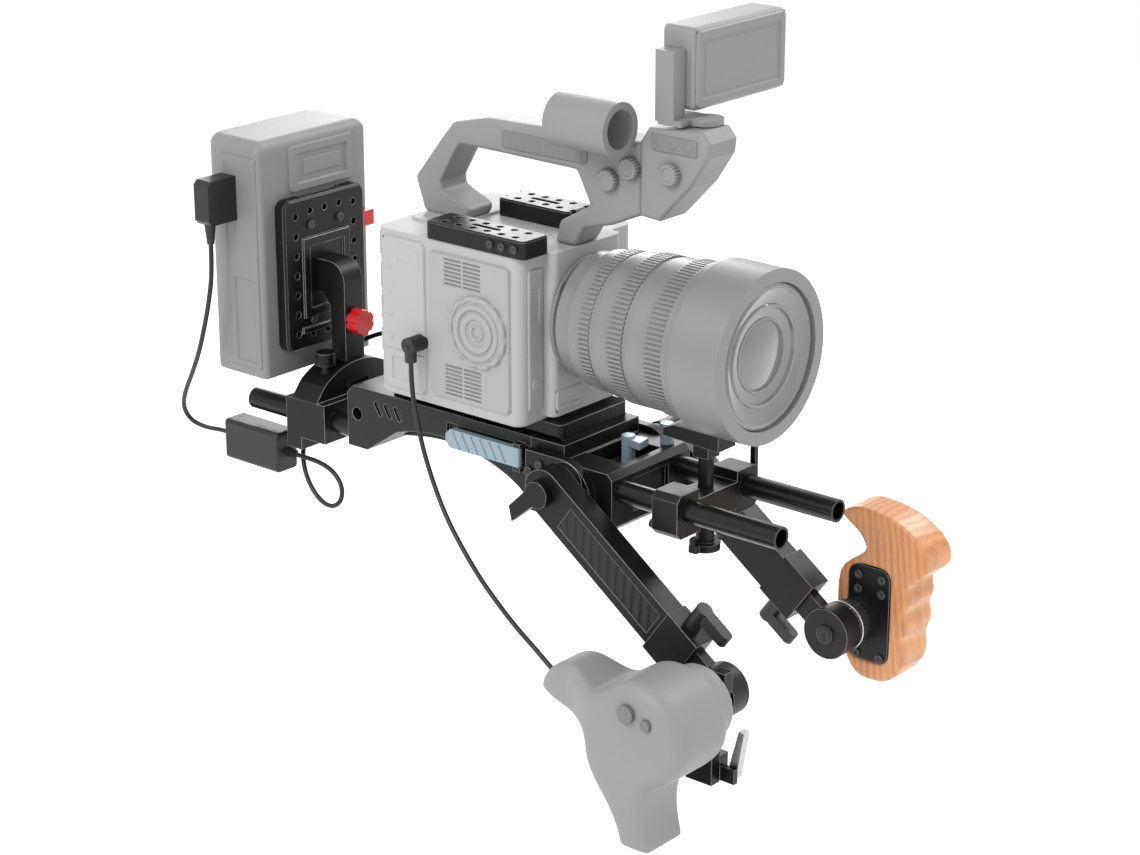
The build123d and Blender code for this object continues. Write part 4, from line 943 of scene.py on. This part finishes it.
raised_panel("monitor_back_frame", "screen", (screen_low[0] + 0.0010, screen_low[1] + 0.0001,
                                              screen_low[2] + 0.0015),
             (screen_high[0] - screen_low[0] - 0.002, 0, 0),
             (0, 0, screen_high[2] - screen_low[2] - 0.003), 0.0004, 0.004, handle_grey,
             "mid_grey", monitor_back, (180, 100))
screen_coat = Coat("dark_screen")
screen_dust = screen_coat.noise(300.0, 2.0)
screen_skin = screen_coat.skin(screen_coat.blend(screen_dust, grey(0.006), grey(0.010)),
                               0.08 + screen_dust * 0.06, None, 0.0, coat_weight=0.6,
                               coat_roughness=0.05)
raised_panel("monitor_screen", "screen", (screen_low[0] + 0.0052, screen_high[1] - 0.00095,
                                          screen_low[2] + 0.0052),
             (0, 0, screen_high[2] - screen_low[2] - 0.0104),
             (screen_high[0] - screen_low[0] - 0.0104, 0, 0), 0.0007, 0.001, screen_skin,
             "mid_grey", None, (40, 70))

# ---- Battery ---------------------------------------------------------------------------
# The battery's shell is moulded in grey, with ribbed flanks and a stepped front above the
# plate that it hangs on.
battery_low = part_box("battery")[0]


def flank_relief(u, v):
    """A sunk lower half, and three long ribs up the rear edge."""
    ribs = sum(well(u, v, 0.004, 0.146, place, place + 0.0022) for place in (0.029, 0.033, 0.037))
    return 0.0008 * ribs - 0.0010 * well(u, v, 0.004, 0.064, 0.004, 0.024)


raised_panel("battery_flank", "battery",
             (battery_low[0] + panel_lift, battery_low[1] + 0.0070, 0.0480), (0, 0, 0.1500),
             (0, 0.0340, 0), 0.0012, 0.003, battery_grey, "battery_grey", flank_relief,
             (160, 100))
battery_face = battery_low[1] + 0.0039


def brow_relief(u, v):
    """A wide sunk band with a raised block in it."""
    return (-0.0013 * well(u, v, 0.007, 0.055, 0.006, 0.027)
            + 0.0008 * well(u, v, 0.013, 0.049, 0.011, 0.022))


raised_panel("battery_brow", "battery", (-0.0240, battery_face, 0.1690), (0.0620, 0, 0),
             (0, 0, 0.0330), 0.0016, 0.003, battery_grey, "battery_grey", brow_relief, (120, 70))

# ---- Battery plate ---------------------------------------------------------------------
# A milled black plate with a raised square frame round the post and a rail below it. Their
# corners are made pale by a strong painted highlight.
plate_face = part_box("battery_plate")[0][1]


def plate_frame(u, v):
    """A square-cornered frame: high between its outer edge and its window."""
    return -0.0013 * well(u, v, 0.0065, 0.0395, 0.0065, 0.0515, 0.0005)


# Its second grey, grey(0.70), is a strong painted highlight on the frame's corners.
highlight_edged_black = anodised("milled_black", grey(0.008), grey(0.70), 0.30)
raised_panel("plate_frame", "rig", (-0.0230, plate_face + panel_lift, 0.0810), (0.0460, 0, 0),
             (0, 0, 0.0580), 0.0018, 0.0008, highlight_edged_black, "anodised_black", plate_frame, (130, 150))
raised_panel("plate_lower_rail", "rig", (-0.0250, plate_face + panel_lift, 0.0700), (0.0500, 0, 0),
             (0, 0, 0.0050), 0.0012, 0.0006, highlight_edged_black, "anodised_black", None, (60, 14))

# ---- Screws and rosette rings ----------------------------------------------------------
# Black-oxide cap screws hold the plates, the brackets and the drums. A bright turned ring
# closes each rosette.
screws("top_plate_screws", "rig", (-1, 0, 0), (0, 1, 0), 0.0027, 0.0014,
       [(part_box("right_top_plate")[0][0], y, 0.1800) for y in (0.020, 0.030, 0.040)])
screws("battery_plate_screws", "rig", (0, -1, 0), (1, 0, 0), 0.0030, 0.0018,
       [(x, plate_face, z) for x in (-0.014, 0.014) for z in (0.147, 0.079)])
screws("bracket_screws", "rig", (-1, 0, 0), (0, 1, 0), 0.0032, 0.0018,
       [(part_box("front_block")[0][0] - 0.006, y, z) for y, z in ((0.010, 0.036), (0.017, 0.014))])
screws("left_drum_screw", "left_hand", (-1, 0, 0), (0, 1, 0), 0.0062, 0.0018,
       [(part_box("left_arm_bar")[0][0] - 0.0001, *joints["left_grip_tilt"]["pos_m"][1:])])
screws("right_drum_screw", "right_hand", (1, 0, 0), (0, 1, 0), 0.0062, 0.0018,
       [(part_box("right_arm_bar")[1][0] + 0.0001, *joints["right_grip_tilt"]["pos_m"][1:])])
ring_profile = ((0.0150, 0.0, 0.0), (0.0166, 0.0002), (0.0170, 0.0010), (0.0166, 0.0018),
                (0.0150, 0.0020))
for hand, side in (("right", -1), ("left", 1)):
    hub = joints[hand + "_grip_tilt"]["pos_m"]
    bar_low, bar_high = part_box(hand + "_arm_bar")
    start_x = side * (max(abs(bar_low[0]), abs(bar_high[0])) + 0.0024)
    piece_from(hand + "_rosette_ring",
               *turned((start_x, hub[1], hub[2]), (side, 0, 0), (0, 1, 0), ring_profile, 96),
               hand + "_hand", steel, "steel")

# ---- Plugs, converter box and small screws ---------------------------------------------
# The plugs and the converter box are moulded in black plastic round their cables, and the
# rig's own small screws are black oxide.
box_plastic = moulded("black_plastic", grey(0.008), 0.42, 1300.0, 0.00004)
paint(box_plastic, "power_plug", "converter_box", "remote_plug")
paint(screw_black, "socket_screws")

# ---- Studio floor ----------------------------------------------------------------------
# A wide pale sheet well below the rig, which is held up by its tripod thread, so no part of
# it touches the floor.
floor_coat = Coat("pale_floor")
floor_tone = floor_coat.noise(3.0, 2.0)
floor_skin = floor_coat.skin(floor_coat.blend(floor_tone, grey(0.96), grey(0.98)), 0.9)
floor_z = cad_low[2] - 0.12
floor_mesh = bpy.data.meshes.new("studio_floor")
floor_mesh.from_pydata([(-9, -9, floor_z), (9, -9, floor_z), (9, 9, floor_z), (-9, 9, floor_z)],
                       [], [(0, 1, 2, 3)])
floor = bpy.data.objects.new("studio_floor", floor_mesh)
bpy.context.collection.objects.link(floor)
floor.data.materials.append(floor_skin)
